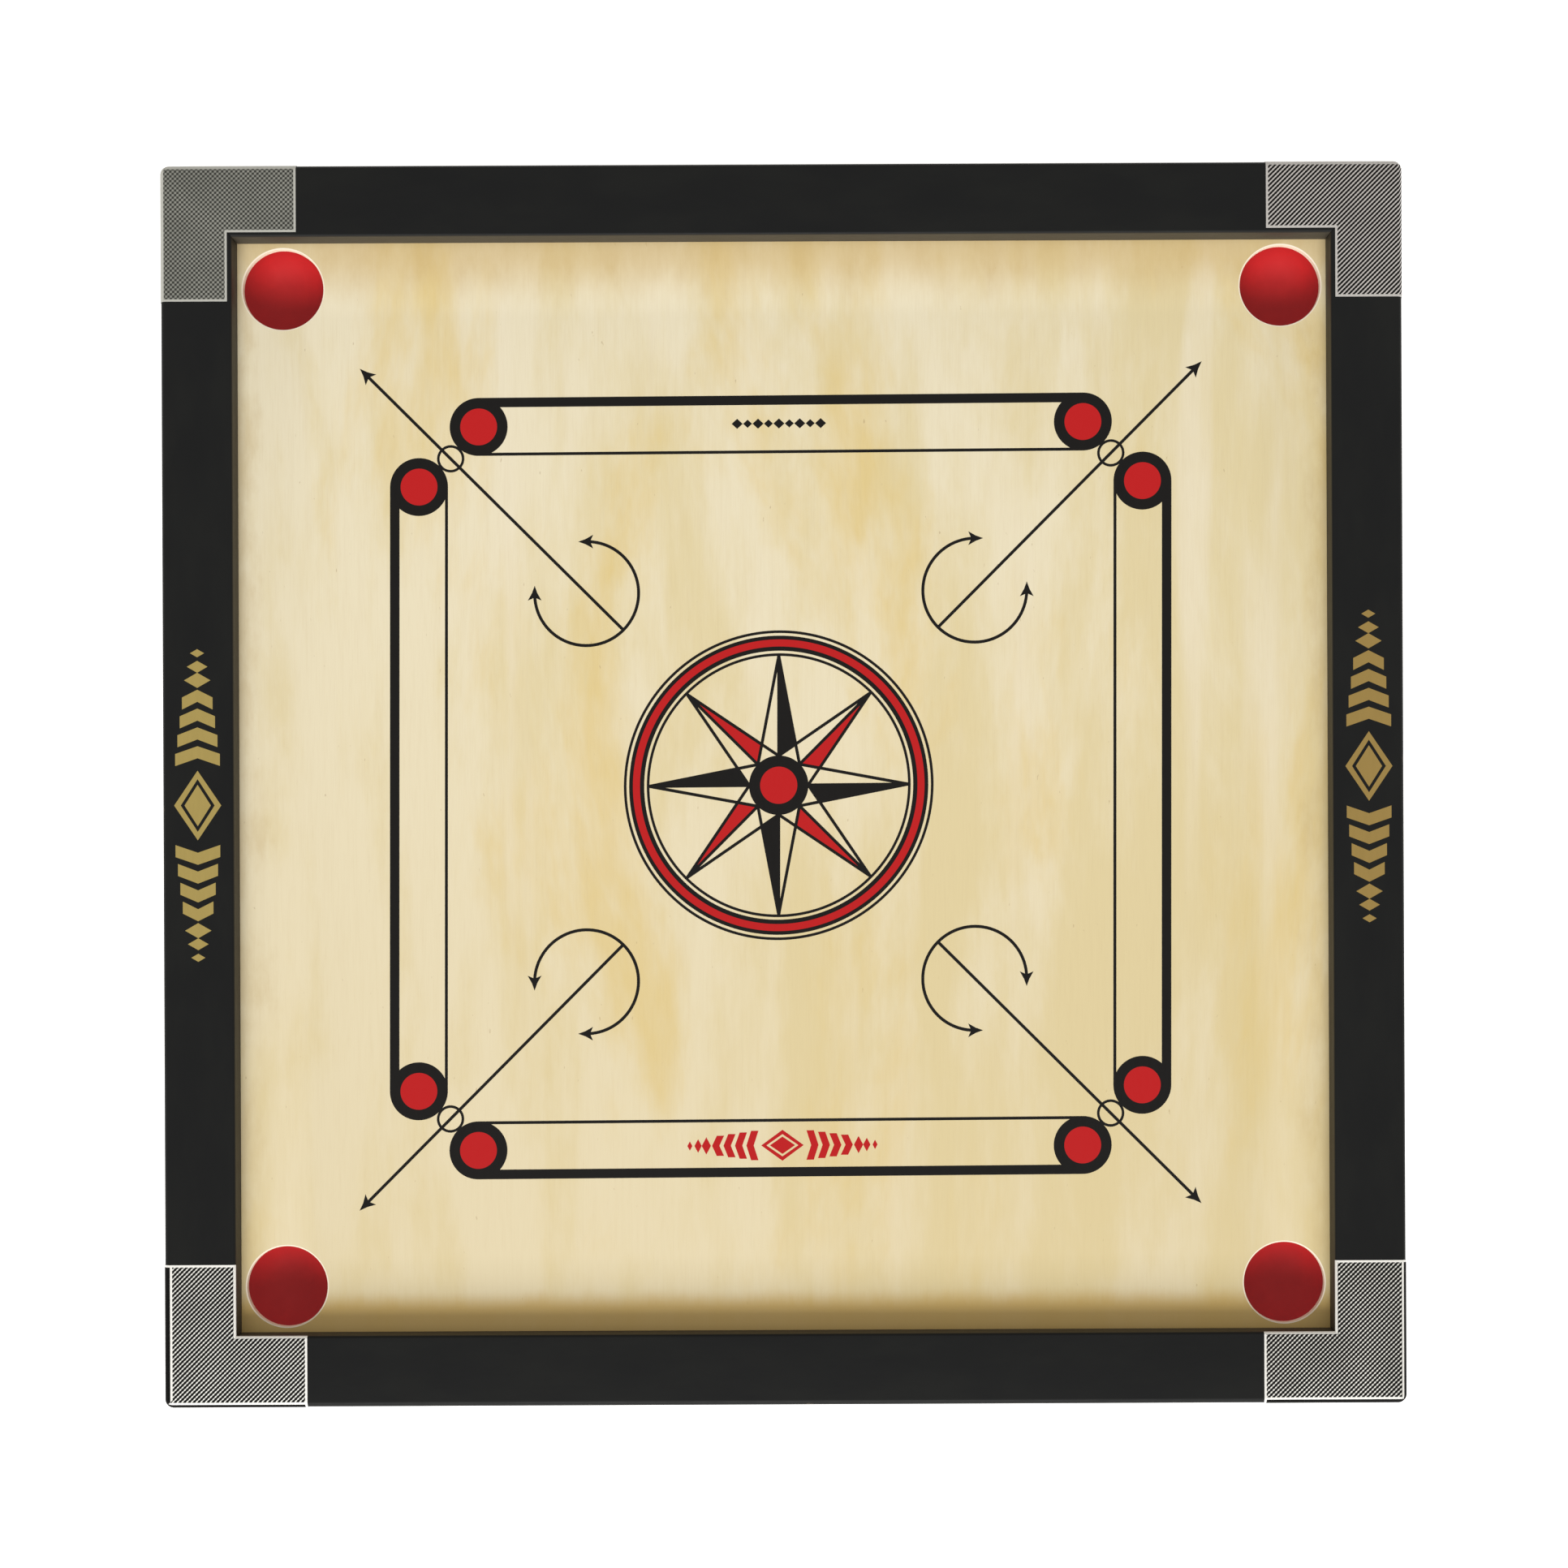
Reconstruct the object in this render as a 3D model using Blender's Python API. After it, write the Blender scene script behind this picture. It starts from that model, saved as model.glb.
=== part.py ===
"""Carrom board: a ply playing sheet in a mitred wooden frame, over four moulded pocket cups.

The origin is at the middle of the underside, +Z is up and the front rail is at -Y.
Blender units are metres.
"""

import math

import bmesh
import bpy
from mathutils import Matrix, Vector

MM = 0.001

# Driving dimensions
BOARD_SIZE = 660.4 * MM  # across the outer faces of the rails
RAIL_WIDTH = 38.1 * MM
RAIL_HEIGHT = 38.1 * MM
CUSHION_HEIGHT = 12.7 * MM  # rail top above the playing face
SHEET_THICKNESS = 4.0 * MM
COIN_DIAMETER = 30.0 * MM  # the playing coin that the pockets are cut for
POCKET_DIAMETER = COIN_DIAMETER + 13.0 * MM
POCKET_TO_RAIL = 3.0 * MM  # wood left between a pocket hole and the rails
TOUCH_GAP = 0.2 * MM  # between faces that touch on the real board
FIT_GAP = 0.3 * MM  # round a tongue, a spline or a shank in its hole

# Frame
HALF_BOARD = BOARD_SIZE / 2
HALF_OPENING = HALF_BOARD - RAIL_WIDTH
PLAY_HEIGHT = RAIL_HEIGHT - CUSHION_HEIGHT
SHEET_UNDERSIDE = PLAY_HEIGHT - SHEET_THICKNESS
REBATE_WIDTH = 10.0 * MM
REBATE_FACE = HALF_OPENING + REBATE_WIDTH
LIP_UNDERSIDE = PLAY_HEIGHT + TOUCH_GAP
OUTER_EDGE_RADIUS = 3.2 * MM
INNER_EDGE_RADIUS = 1.6 * MM
FOOT_CHAMFER = 1.0 * MM
CORNER_RADIUS = 4.5 * MM  # of the frame's outer corners, seen from above
CORNER_CENTRE = HALF_BOARD - CORNER_RADIUS
CORNER_STEPS = 4
EDGE_STEPS = 3

# Mitre splines, flat in a slot across each mitre
SPLINE_THICKNESS = 3.0 * MM
SPLINE_WIDTH = 16.0 * MM
SPLINE_LENGTH = 23.0 * MM
SPLINE_HEIGHT = 12.5 * MM  # its mid-plane above the ground
SPLINE_CENTRE = 313.2 * MM

# Corner foils
FOIL_THICKNESS = 0.2 * MM
FOIL_STANDOFF = 0.1 * MM
FOIL_SKIRT = 20.0 * MM  # how far a foil folds down the outer faces
FRONT_FOIL_LEG = 76.0 * MM  # along each rail
BACK_FOIL_LEG = 72.5 * MM
BACK_FOIL_STRIP = 2.3 * MM  # of rail left bare inside the back foils; the front ones fold over the edge

# Battens under the sheet, halved over each other, with tongues let into the rails
BATTEN_WIDTH = 30.0 * MM
BATTEN_CLEARANCE = 1.2 * MM  # under a batten, so that the board stands on its rails
BATTEN_TOP = SHEET_UNDERSIDE - TOUCH_GAP
TONGUE_LENGTH = 14.0 * MM
TONGUE_TOP = 9.8 * MM
BATTEN_BODY_END = REBATE_FACE - FIT_GAP
BATTEN_END = BATTEN_BODY_END + TONGUE_LENGTH
LAP_HEIGHT = (BATTEN_CLEARANCE + BATTEN_TOP) / 2

# Batten screws
SCREW_LINE = 309.0 * MM  # distance of the screws from the board's middle
SCREW_SPREAD = 8.0 * MM  # to each side of a batten's centre line
SCREW_HEAD_RADIUS = 3.5 * MM
SCREW_SHANK_RADIUS = 1.6 * MM
SCREW_HEAD_HEIGHT = 2.1 * MM
SCREW_BOTTOM = BATTEN_CLEARANCE + FIT_GAP
SCREW_TIP = 23.0 * MM

# Pins up through the sheet's edge into the rails
PIN_LINE = HALF_OPENING + REBATE_WIDTH / 2
PIN_SPOTS = (-225.0 * MM, -75.0 * MM, 75.0 * MM, 225.0 * MM)
PIN_HEAD_RADIUS = 2.2 * MM
PIN_HEAD_HEIGHT = 1.0 * MM
PIN_SHANK_RADIUS = 0.8 * MM
PIN_TIP = 33.0 * MM

# Pocket cups
POCKET_RADIUS = POCKET_DIAMETER / 2
POCKET_CENTRE = HALF_OPENING - POCKET_TO_RAIL - POCKET_RADIUS
CUP_RADIUS = POCKET_RADIUS + 0.5 * MM
CUP_WALL = 1.6 * MM
CUP_FLANGE_RADIUS = 31.0 * MM
CUP_FLANGE_THICKNESS = 1.8 * MM
CUP_TOP = SHEET_UNDERSIDE - TOUCH_GAP
CUP_FLOOR = 3.0 * MM  # inside the bowl
BOWL_STEPS = 7

# Tacks through the flange of each cup
TACK_CIRCLE = 26.8 * MM
TACK_HEAD_RADIUS = 2.8 * MM
TACK_HEAD_HEIGHT = 1.3 * MM
TACK_SHANK_RADIUS = 0.7 * MM
TACK_TIP = PLAY_HEIGHT - 1.2 * MM

LARGE_ROUND = 32  # sides of pocket holes and cups
SMALL_ROUND = 8  # sides of fasteners and their holes
SIDES = {"front": 0, "right": 1, "back": 2, "left": 3}
CORNERS = {"front_right": (1, -1), "back_right": (1, 1), "back_left": (-1, 1), "front_left": (-1, -1)}


def clear_scene():
    for old in list(bpy.data.objects):
        bpy.data.objects.remove(old, do_unlink=True)


def make_material(name, colour, roughness, metallic=0.0, coat=0.0):
    material = bpy.data.materials.new(name)
    material.use_nodes = True
    shader = material.node_tree.nodes["Principled BSDF"]
    shader.inputs["Base Color"].default_value = (*colour, 1.0)
    shader.inputs["Roughness"].default_value = roughness
    shader.inputs["Metallic"].default_value = metallic
    shader.inputs["Coat Weight"].default_value = coat
    material.diffuse_color = (*colour, 1.0)
    return material


def finish_mesh(name, bm, material, smooth_angle=None):
    """Turns a closed bmesh into a mesh with its faces pointing out."""
    bmesh.ops.recalc_face_normals(bm, faces=bm.faces)
    mesh = bpy.data.meshes.new(name)
    bm.to_mesh(mesh)
    bm.free()
    mesh.materials.append(material)
    if smooth_angle is not None:
        mesh.shade_smooth()
        mesh.set_sharp_from_angle(angle=math.radians(smooth_angle))
    return mesh


def place(name, mesh, location=(0.0, 0.0, 0.0), quarter_turns=0):
    placed = bpy.data.objects.new(name, mesh)
    bpy.context.scene.collection.objects.link(placed)
    placed.location = location
    placed.rotation_euler = (0.0, 0.0, quarter_turns * math.pi / 2)
    return placed


def add_box(bm, low, high, turn=None):
    """A box between two corners, turned about its own middle where turn is given."""
    size = Vector(high) - Vector(low)
    middle = (Vector(high) + Vector(low)) / 2
    matrix = Matrix.Translation(middle) @ (turn or Matrix()) @ Matrix.Diagonal((*size, 1.0))
    bmesh.ops.create_cube(bm, size=1.0, matrix=matrix)


def add_turned(bm, profile, sides, centre=(0.0, 0.0)):
    """A solid turned about an upright axis, from (radius, height) points that start and end on it."""
    rings = []
    for radius, height in profile:
        if radius == 0.0:
            rings.append([bm.verts.new((centre[0], centre[1], height))] * sides)
            continue
        angles = [2 * math.pi * (step + 0.5) / sides for step in range(sides)]
        rings.append(
            [
                bm.verts.new((centre[0] + radius * math.cos(a), centre[1] + radius * math.sin(a), height))
                for a in angles
            ]
        )
    for lower, upper in zip(rings, rings[1:]):
        for step in range(sides):
            after = (step + 1) % sides
            corners = (lower[step], lower[after], upper[after], upper[step])
            bm.faces.new(list(dict.fromkeys(corners)))


def round_hole(radius, bottom, top):
    return [(0.0, bottom), (radius, bottom), (radius, top), (0.0, top)]


def cut(target, cutter_name, bm):
    """Takes a cutter's shape out of a piece."""
    bmesh.ops.recalc_face_normals(bm, faces=bm.faces)
    mesh = bpy.data.meshes.new(cutter_name)
    bm.to_mesh(mesh)
    bm.free()
    cutter = place(cutter_name, mesh)
    cutter.hide_render = True
    cutter.display_type = "WIRE"
    modifier = target.modifiers.new(cutter_name, "BOOLEAN")
    modifier.object = cutter
    modifier.operation = "DIFFERENCE"
    modifier.solver = "EXACT"


def settle(name, target):
    """The mesh of a piece with its cuts made, for the copies of it."""
    bpy.context.view_layer.update()
    evaluated = target.evaluated_get(bpy.context.evaluated_depsgraph_get())
    mesh = bpy.data.meshes.new_from_object(evaluated)
    mesh.name = name
    for modifier in list(target.modifiers):
        bpy.data.objects.remove(modifier.object, do_unlink=True)
    bpy.data.objects.remove(target, do_unlink=True)
    return mesh


def arc(centre, radius, start, end, steps):
    angles = [math.radians(start + (end - start) * step / steps) for step in range(steps + 1)]
    return [(centre[0] + radius * math.cos(a), centre[1] + radius * math.sin(a)) for a in angles]


def corner_point(reach, height, angle):
    """A point at an outer corner, on the path at a given distance from the board's middle.

    The path is a square whose corners are round outside CORNER_CENTRE and sharp inside it.
    The angle runs from 0 on the front face to 90 on the right face.
    """
    centre = min(reach, CORNER_CENTRE)
    radius = reach - centre
    turn = math.radians(angle)
    return Vector((centre + radius * math.sin(turn), -centre - radius * math.cos(turn), height))


def add_swept(bm, columns):
    """A solid skinned over a row of matching closed sections, with both ends filled."""
    rings = [[bm.verts.new(point) for point in column] for column in columns]
    for ring, after in zip(rings, rings[1:]):
        for index in range(len(ring)):
            follower = (index + 1) % len(ring)
            bm.faces.new((ring[index], ring[follower], after[follower], after[index]))
    bm.faces.new(rings[0])
    bm.faces.new(rings[-1])
    bmesh.ops.remove_doubles(bm, verts=bm.verts, dist=0.01 * MM)


def rail_section():
    """A rail's section as (distance from the board's middle, height) points."""
    inner = (HALF_OPENING + INNER_EDGE_RADIUS, RAIL_HEIGHT - INNER_EDGE_RADIUS)
    outer = (HALF_BOARD - OUTER_EDGE_RADIUS, RAIL_HEIGHT - OUTER_EDGE_RADIUS)
    return [
        (HALF_OPENING, LIP_UNDERSIDE),
        *arc(inner, INNER_EDGE_RADIUS, 180, 90, EDGE_STEPS),
        *arc(outer, OUTER_EDGE_RADIUS, 90, 0, EDGE_STEPS),
        (HALF_BOARD, FOOT_CHAMFER),
        (HALF_BOARD - FOOT_CHAMFER, 0.0),
        (REBATE_FACE + FOOT_CHAMFER, 0.0),
        (REBATE_FACE, FOOT_CHAMFER),
        (REBATE_FACE, LIP_UNDERSIDE),
    ]


def foil_section(strip):
    """A foil's section: a thin sheet over the rail's top and down its outer face.

    It leaves a strip of the rail's top bare, or with no strip it folds over the rail's inner edge.
    """
    inner = (HALF_OPENING + INNER_EDGE_RADIUS, RAIL_HEIGHT - INNER_EDGE_RADIUS)
    outer = (HALF_BOARD - OUTER_EDGE_RADIUS, RAIL_HEIGHT - OUTER_EDGE_RADIUS)
    skirt = RAIL_HEIGHT - FOIL_SKIRT

    def skin(standoff):
        if strip:
            start = [(HALF_OPENING + strip, RAIL_HEIGHT + standoff)]
        else:
            start = arc(inner, INNER_EDGE_RADIUS + standoff, 150, 90, EDGE_STEPS - 1)
        return [
            *start,
            *arc(outer, OUTER_EDGE_RADIUS + standoff, 90, 0, EDGE_STEPS),
            (HALF_BOARD + standoff, skirt),
        ]

    return skin(FOIL_STANDOFF + FOIL_THICKNESS) + list(reversed(skin(FOIL_STANDOFF)))


def spline_box(bm, margin, side=1):
    """A spline, or its slot, in the front rail's right (1) or left (-1) mitre."""
    half = Vector((SPLINE_LENGTH / 2 + margin, SPLINE_WIDTH / 2 + margin, SPLINE_THICKNESS / 2 + margin))
    middle = Vector((side * SPLINE_CENTRE, -SPLINE_CENTRE, SPLINE_HEIGHT))
    add_box(bm, middle - half, middle + half, Matrix.Rotation(math.radians(-45 * side), 4, "Z"))


def build_rails(material):
    """The four rails are one shape, turned round the board."""
    section = rail_section()
    half_corner = [45.0 * step / (CORNER_STEPS // 2) for step in range(CORNER_STEPS // 2 + 1)]
    right_end = [[corner_point(reach, height, a) for reach, height in section] for a in half_corner]
    left_end = [[Vector((-p.x, p.y, p.z)) for p in column] for column in reversed(right_end)]
    bm = bmesh.new()
    add_swept(bm, left_end + right_end)
    for side in (-1, 1):
        normal = Vector((side, 1, 0)).normalized()
        geometry = bm.verts[:] + bm.edges[:] + bm.faces[:]
        trimmed = bmesh.ops.bisect_plane(
            bm, geom=geometry, plane_co=-normal * TOUCH_GAP / 2, plane_no=normal, clear_outer=True
        )
        rim = [item for item in trimmed["geom_cut"] if isinstance(item, bmesh.types.BMEdge)]
        bmesh.ops.edgeloop_fill(bm, edges=rim)
    blank = place("rail_blank", finish_mesh("rail_blank", bm, material))

    joints = bmesh.new()
    notch_half = BATTEN_WIDTH / 2 + FIT_GAP
    add_box(
        joints,
        (-notch_half, -BATTEN_END - FIT_GAP, -FOOT_CHAMFER),
        (notch_half, -REBATE_FACE + FOOT_CHAMFER, TONGUE_TOP + FIT_GAP),
    )
    for side in (-1, 1):
        spline_box(joints, FIT_GAP / 2, side)
    cut(blank, "rail_joints", joints)

    holes = bmesh.new()
    screw_hole = round_hole(SCREW_SHANK_RADIUS + FIT_GAP, TONGUE_TOP, SCREW_TIP + FIT_GAP)
    for spread in (-SCREW_SPREAD, SCREW_SPREAD):
        add_turned(holes, screw_hole, SMALL_ROUND, (spread, -SCREW_LINE))
    pin_hole = round_hole(PIN_SHANK_RADIUS + FIT_GAP, LIP_UNDERSIDE - FIT_GAP, PIN_TIP + FIT_GAP)
    for spot in PIN_SPOTS:
        add_turned(holes, pin_hole, SMALL_ROUND, (spot, -PIN_LINE))
    cut(blank, "rail_holes", holes)

    mesh = settle("rail", blank)
    mesh.shade_smooth()
    mesh.set_sharp_from_angle(angle=math.radians(35))
    for side, turns in SIDES.items():
        place(f"rail_{side}", mesh, quarter_turns=turns)


def foil_mesh(name, leg, strip, material):
    """A foil made at the front right corner."""
    section = foil_section(strip)
    leg_start = HALF_BOARD - leg
    bends = [90.0 * step / CORNER_STEPS for step in range(CORNER_STEPS + 1)]
    corner = [[corner_point(reach, height, a) for reach, height in section] for a in bends]
    front_leg = [Vector((leg_start, -reach, height)) for reach, height in section]
    right_leg = [Vector((reach, -leg_start, height)) for reach, height in section]
    bm = bmesh.new()
    add_swept(bm, [front_leg, *corner, right_leg])
    return finish_mesh(name, bm, material, smooth_angle=35)


def build_corner_pieces(foil_material, wood_material):
    """The foil over each corner and the spline inside it, turned from the front right."""
    front_foil = foil_mesh("front_foil", FRONT_FOIL_LEG, 0.0, foil_material)
    back_foil = foil_mesh("back_foil", BACK_FOIL_LEG, BACK_FOIL_STRIP, foil_material)
    bm = bmesh.new()
    spline_box(bm, 0.0)
    spline = finish_mesh("mitre_spline", bm, wood_material)
    for turns, corner_name in enumerate(CORNERS):
        foil = front_foil if corner_name.startswith("front") else back_foil
        place(f"corner_foil_{corner_name}", foil, quarter_turns=turns)
        place(f"mitre_spline_{corner_name}", spline, quarter_turns=turns)


def build_play_surface(material):
    bm = bmesh.new()
    half = REBATE_FACE - FIT_GAP
    add_box(bm, (-half, -half, SHEET_UNDERSIDE), (half, half, PLAY_HEIGHT))
    sheet = place("play_surface", finish_mesh("play_surface", bm, material))

    pockets = bmesh.new()
    through = round_hole(POCKET_RADIUS, SHEET_UNDERSIDE - FIT_GAP, PLAY_HEIGHT + FIT_GAP)
    for x, y in CORNERS.values():
        add_turned(pockets, through, LARGE_ROUND, (x * POCKET_CENTRE, y * POCKET_CENTRE))
    cut(sheet, "pocket_holes", pockets)

    fixings = bmesh.new()
    pin_hole = round_hole(PIN_SHANK_RADIUS + FIT_GAP, SHEET_UNDERSIDE - FIT_GAP, PLAY_HEIGHT + FIT_GAP)
    for turns in SIDES.values():
        for spot in PIN_SPOTS:
            where = Matrix.Rotation(turns * math.pi / 2, 2) @ Vector((spot, -PIN_LINE))
            add_turned(fixings, pin_hole, SMALL_ROUND, where)
    tack_hole = round_hole(TACK_SHANK_RADIUS + FIT_GAP, SHEET_UNDERSIDE - FIT_GAP, TACK_TIP + FIT_GAP)
    for where in tack_spots():
        add_turned(fixings, tack_hole, SMALL_ROUND, where)
    cut(sheet, "fixing_holes", fixings)


def tack_spots():
    """Where the tacks go: four round each pocket, on its diagonals."""
    reach = TACK_CIRCLE / math.sqrt(2)
    return [
        (x * POCKET_CENTRE + a * reach, y * POCKET_CENTRE + b * reach)
        for x, y in CORNERS.values()
        for a, b in CORNERS.values()
    ]


def bowl_section(radius, floor):
    """A quarter of an ellipse, from the rim at CUP_TOP down to the middle of the bowl."""
    angles = [math.pi / 2 * step / BOWL_STEPS for step in range(BOWL_STEPS)]
    return [(radius * math.cos(a), CUP_TOP - (CUP_TOP - floor) * math.sin(a)) for a in angles] + [(0.0, floor)]


def build_cups(material):
    inside = bowl_section(CUP_RADIUS, CUP_FLOOR)
    outside = bowl_section(CUP_RADIUS + CUP_WALL, CUP_FLOOR - CUP_WALL)
    flange_underside = CUP_TOP - CUP_FLANGE_THICKNESS
    outside = [(CUP_RADIUS + CUP_WALL, flange_underside)] + [p for p in outside if p[1] < flange_underside]
    flange = [(CUP_FLANGE_RADIUS, flange_underside), (CUP_FLANGE_RADIUS, CUP_TOP)]
    bm = bmesh.new()
    add_turned(bm, list(reversed(outside)) + flange + inside, LARGE_ROUND)
    blank = place("cup_blank", finish_mesh("cup_blank", bm, material))

    holes = bmesh.new()
    hole = round_hole(TACK_SHANK_RADIUS + FIT_GAP, flange_underside - FIT_GAP, CUP_TOP + FIT_GAP)
    reach = TACK_CIRCLE / math.sqrt(2)
    for a, b in CORNERS.values():
        add_turned(holes, hole, SMALL_ROUND, (a * reach, b * reach))
    cut(blank, "tack_holes", holes)

    mesh = settle("pocket_cup", blank)
    mesh.shade_smooth()
    mesh.set_sharp_from_angle(angle=math.radians(50))
    for corner, (x, y) in CORNERS.items():
        place(f"pocket_cup_{corner}", mesh, (x * POCKET_CENTRE, y * POCKET_CENTRE, 0.0))


def build_tacks(material):
    """Round-headed tacks, head down, up through the cups into the sheet."""
    head_top = CUP_TOP - CUP_FLANGE_THICKNESS - TOUCH_GAP
    head_bottom = head_top - TACK_HEAD_HEIGHT
    profile = [
        (0.0, head_bottom),
        (TACK_HEAD_RADIUS * 0.65, head_bottom + TACK_HEAD_HEIGHT * 0.25),
        (TACK_HEAD_RADIUS, head_top),
        (TACK_SHANK_RADIUS, head_top),
        (TACK_SHANK_RADIUS, TACK_TIP - 3 * TACK_SHANK_RADIUS),
        (0.0, TACK_TIP),
    ]
    bm = bmesh.new()
    add_turned(bm, profile, SMALL_ROUND)
    mesh = finish_mesh("cup_tack", bm, material, smooth_angle=40)
    corner_names = list(CORNERS)
    for index, (x, y) in enumerate(tack_spots()):
        corner = corner_names[index // len(CORNERS)]
        place(f"cup_tack_{corner}_{index % len(CORNERS) + 1}", mesh, (x, y, 0.0))


def build_pins(material):
    """Flat-headed pins, head down, up through the sheet's edge into the rails."""
    head_top = SHEET_UNDERSIDE - TOUCH_GAP
    profile = [
        (0.0, head_top - PIN_HEAD_HEIGHT),
        (PIN_HEAD_RADIUS, head_top - PIN_HEAD_HEIGHT),
        (PIN_HEAD_RADIUS, head_top),
        (PIN_SHANK_RADIUS, head_top),
        (PIN_SHANK_RADIUS, PIN_TIP - 4 * PIN_SHANK_RADIUS),
        (0.0, PIN_TIP),
    ]
    bm = bmesh.new()
    add_turned(bm, profile, SMALL_ROUND)
    mesh = finish_mesh("ply_pin", bm, material, smooth_angle=40)
    for side, turns in SIDES.items():
        for number, spot in enumerate(PIN_SPOTS, start=1):
            where = Matrix.Rotation(turns * math.pi / 2, 2) @ Vector((spot, -PIN_LINE))
            place(f"ply_pin_{side}_{number}", mesh, (where.x, where.y, 0.0))


def build_screws(material):
    """Countersunk screws, head down, up through the batten tongues into the rails."""
    profile = [
        (0.0, SCREW_BOTTOM),
        (SCREW_HEAD_RADIUS, SCREW_BOTTOM),
        (SCREW_SHANK_RADIUS, SCREW_BOTTOM + SCREW_HEAD_HEIGHT),
        (SCREW_SHANK_RADIUS, SCREW_TIP - 3 * SCREW_SHANK_RADIUS),
        (0.0, SCREW_TIP),
    ]
    bm = bmesh.new()
    add_turned(bm, profile, SMALL_ROUND)
    mesh = finish_mesh("batten_screw", bm, material, smooth_angle=40)
    for side, turns in SIDES.items():
        for number, spread in enumerate((-SCREW_SPREAD, SCREW_SPREAD), start=1):
            where = Matrix.Rotation(turns * math.pi / 2, 2) @ Vector((spread, -SCREW_LINE))
            place(f"batten_screw_{side}_{number}", mesh, (where.x, where.y, 0.0))


def build_batten(name, material, quarter_turns, lap):
    """A batten along X before its turn, with a lap cut out between the heights in lap."""
    bm = bmesh.new()
    half_width = BATTEN_WIDTH / 2
    half_lap = half_width + FIT_GAP
    edges = (-BATTEN_END, -BATTEN_BODY_END, -half_lap, half_lap, BATTEN_BODY_END, BATTEN_END)
    heights = [
        (BATTEN_CLEARANCE, TONGUE_TOP),
        (BATTEN_CLEARANCE, BATTEN_TOP),
        lap,
        (BATTEN_CLEARANCE, BATTEN_TOP),
        (BATTEN_CLEARANCE, TONGUE_TOP),
    ]
    outline = []
    for index, (low, _) in enumerate(heights):
        outline += [(edges[index], low), (edges[index + 1], low)]
    for index, (_, high) in reversed(list(enumerate(heights))):
        outline += [(edges[index + 1], high), (edges[index], high)]
    corners = dict.fromkeys(outline)
    side_face = bm.faces.new([bm.verts.new((x, -half_width, z)) for x, z in corners])
    grown = bmesh.ops.extrude_face_region(bm, geom=[side_face])
    moved = [item for item in grown["geom"] if isinstance(item, bmesh.types.BMVert)]
    bmesh.ops.translate(bm, vec=(0.0, BATTEN_WIDTH, 0.0), verts=moved)
    blank = place("batten_blank", finish_mesh("batten_blank", bm, material))

    holes = bmesh.new()
    sink = FIT_GAP
    profile = [
        (0.0, BATTEN_CLEARANCE - FIT_GAP),
        (SCREW_HEAD_RADIUS + sink, BATTEN_CLEARANCE - FIT_GAP),
        (SCREW_HEAD_RADIUS + sink, SCREW_BOTTOM + sink),
        (SCREW_SHANK_RADIUS + sink, SCREW_BOTTOM + SCREW_HEAD_HEIGHT + sink),
        (SCREW_SHANK_RADIUS + sink, TONGUE_TOP + FIT_GAP),
        (0.0, TONGUE_TOP + FIT_GAP),
    ]
    for end in (-1, 1):
        for spread in (-SCREW_SPREAD, SCREW_SPREAD):
            add_turned(holes, profile, SMALL_ROUND, (end * SCREW_LINE, spread))
    cut(blank, "screw_holes", holes)
    place(name, settle(name, blank), quarter_turns=quarter_turns)


def build_battens(material):
    lower_half = (BATTEN_CLEARANCE, LAP_HEIGHT - FIT_GAP / 2)
    upper_half = (LAP_HEIGHT + FIT_GAP / 2, BATTEN_TOP)
    build_batten("batten_crossways", material, 0, lower_half)
    build_batten("batten_lengthways", material, 1, upper_half)


def main():
    clear_scene()
    ply = make_material("varnished_ply", (0.78, 0.66, 0.43), 0.35, coat=0.3)
    black = make_material("black_lacquer", (0.017, 0.017, 0.018), 0.4, coat=0.3)
    silver = make_material("silver_foil", (0.62, 0.62, 0.60), 0.35, metallic=0.6)
    red = make_material("red_plastic", (0.54, 0.015, 0.02), 0.3)
    raw_wood = make_material("raw_wood", (0.55, 0.38, 0.20), 0.7)
    steel = make_material("zinc_steel", (0.6, 0.6, 0.6), 0.35, metallic=1.0)
    build_play_surface(ply)
    build_rails(black)
    build_corner_pieces(silver, raw_wood)
    build_cups(red)
    build_battens(raw_wood)
    build_screws(steel)
    build_tacks(steel)
    build_pins(steel)


main()
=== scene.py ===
"""Carrom board: the looks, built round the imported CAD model. Metres, +Z up, the front rail at -Y."""

import math
from typing import NamedTuple

import bmesh
import bpy
from mathutils import Matrix, Vector
from mathutils.geometry import delaunay_2d_cdt


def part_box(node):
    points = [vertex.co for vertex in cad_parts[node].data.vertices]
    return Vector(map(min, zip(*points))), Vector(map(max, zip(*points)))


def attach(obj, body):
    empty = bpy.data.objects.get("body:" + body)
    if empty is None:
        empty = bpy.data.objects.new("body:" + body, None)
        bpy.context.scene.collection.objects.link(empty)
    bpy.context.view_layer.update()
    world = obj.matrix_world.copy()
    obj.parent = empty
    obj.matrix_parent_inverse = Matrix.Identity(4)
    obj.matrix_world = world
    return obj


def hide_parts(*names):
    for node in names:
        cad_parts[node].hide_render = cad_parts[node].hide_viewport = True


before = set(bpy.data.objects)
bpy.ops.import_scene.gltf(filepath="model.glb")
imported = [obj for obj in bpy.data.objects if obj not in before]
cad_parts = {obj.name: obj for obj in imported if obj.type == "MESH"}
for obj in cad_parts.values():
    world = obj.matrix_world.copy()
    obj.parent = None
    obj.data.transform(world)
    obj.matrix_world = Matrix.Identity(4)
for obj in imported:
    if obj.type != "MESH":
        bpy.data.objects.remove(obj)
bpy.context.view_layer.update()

MM = 0.001

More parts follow.
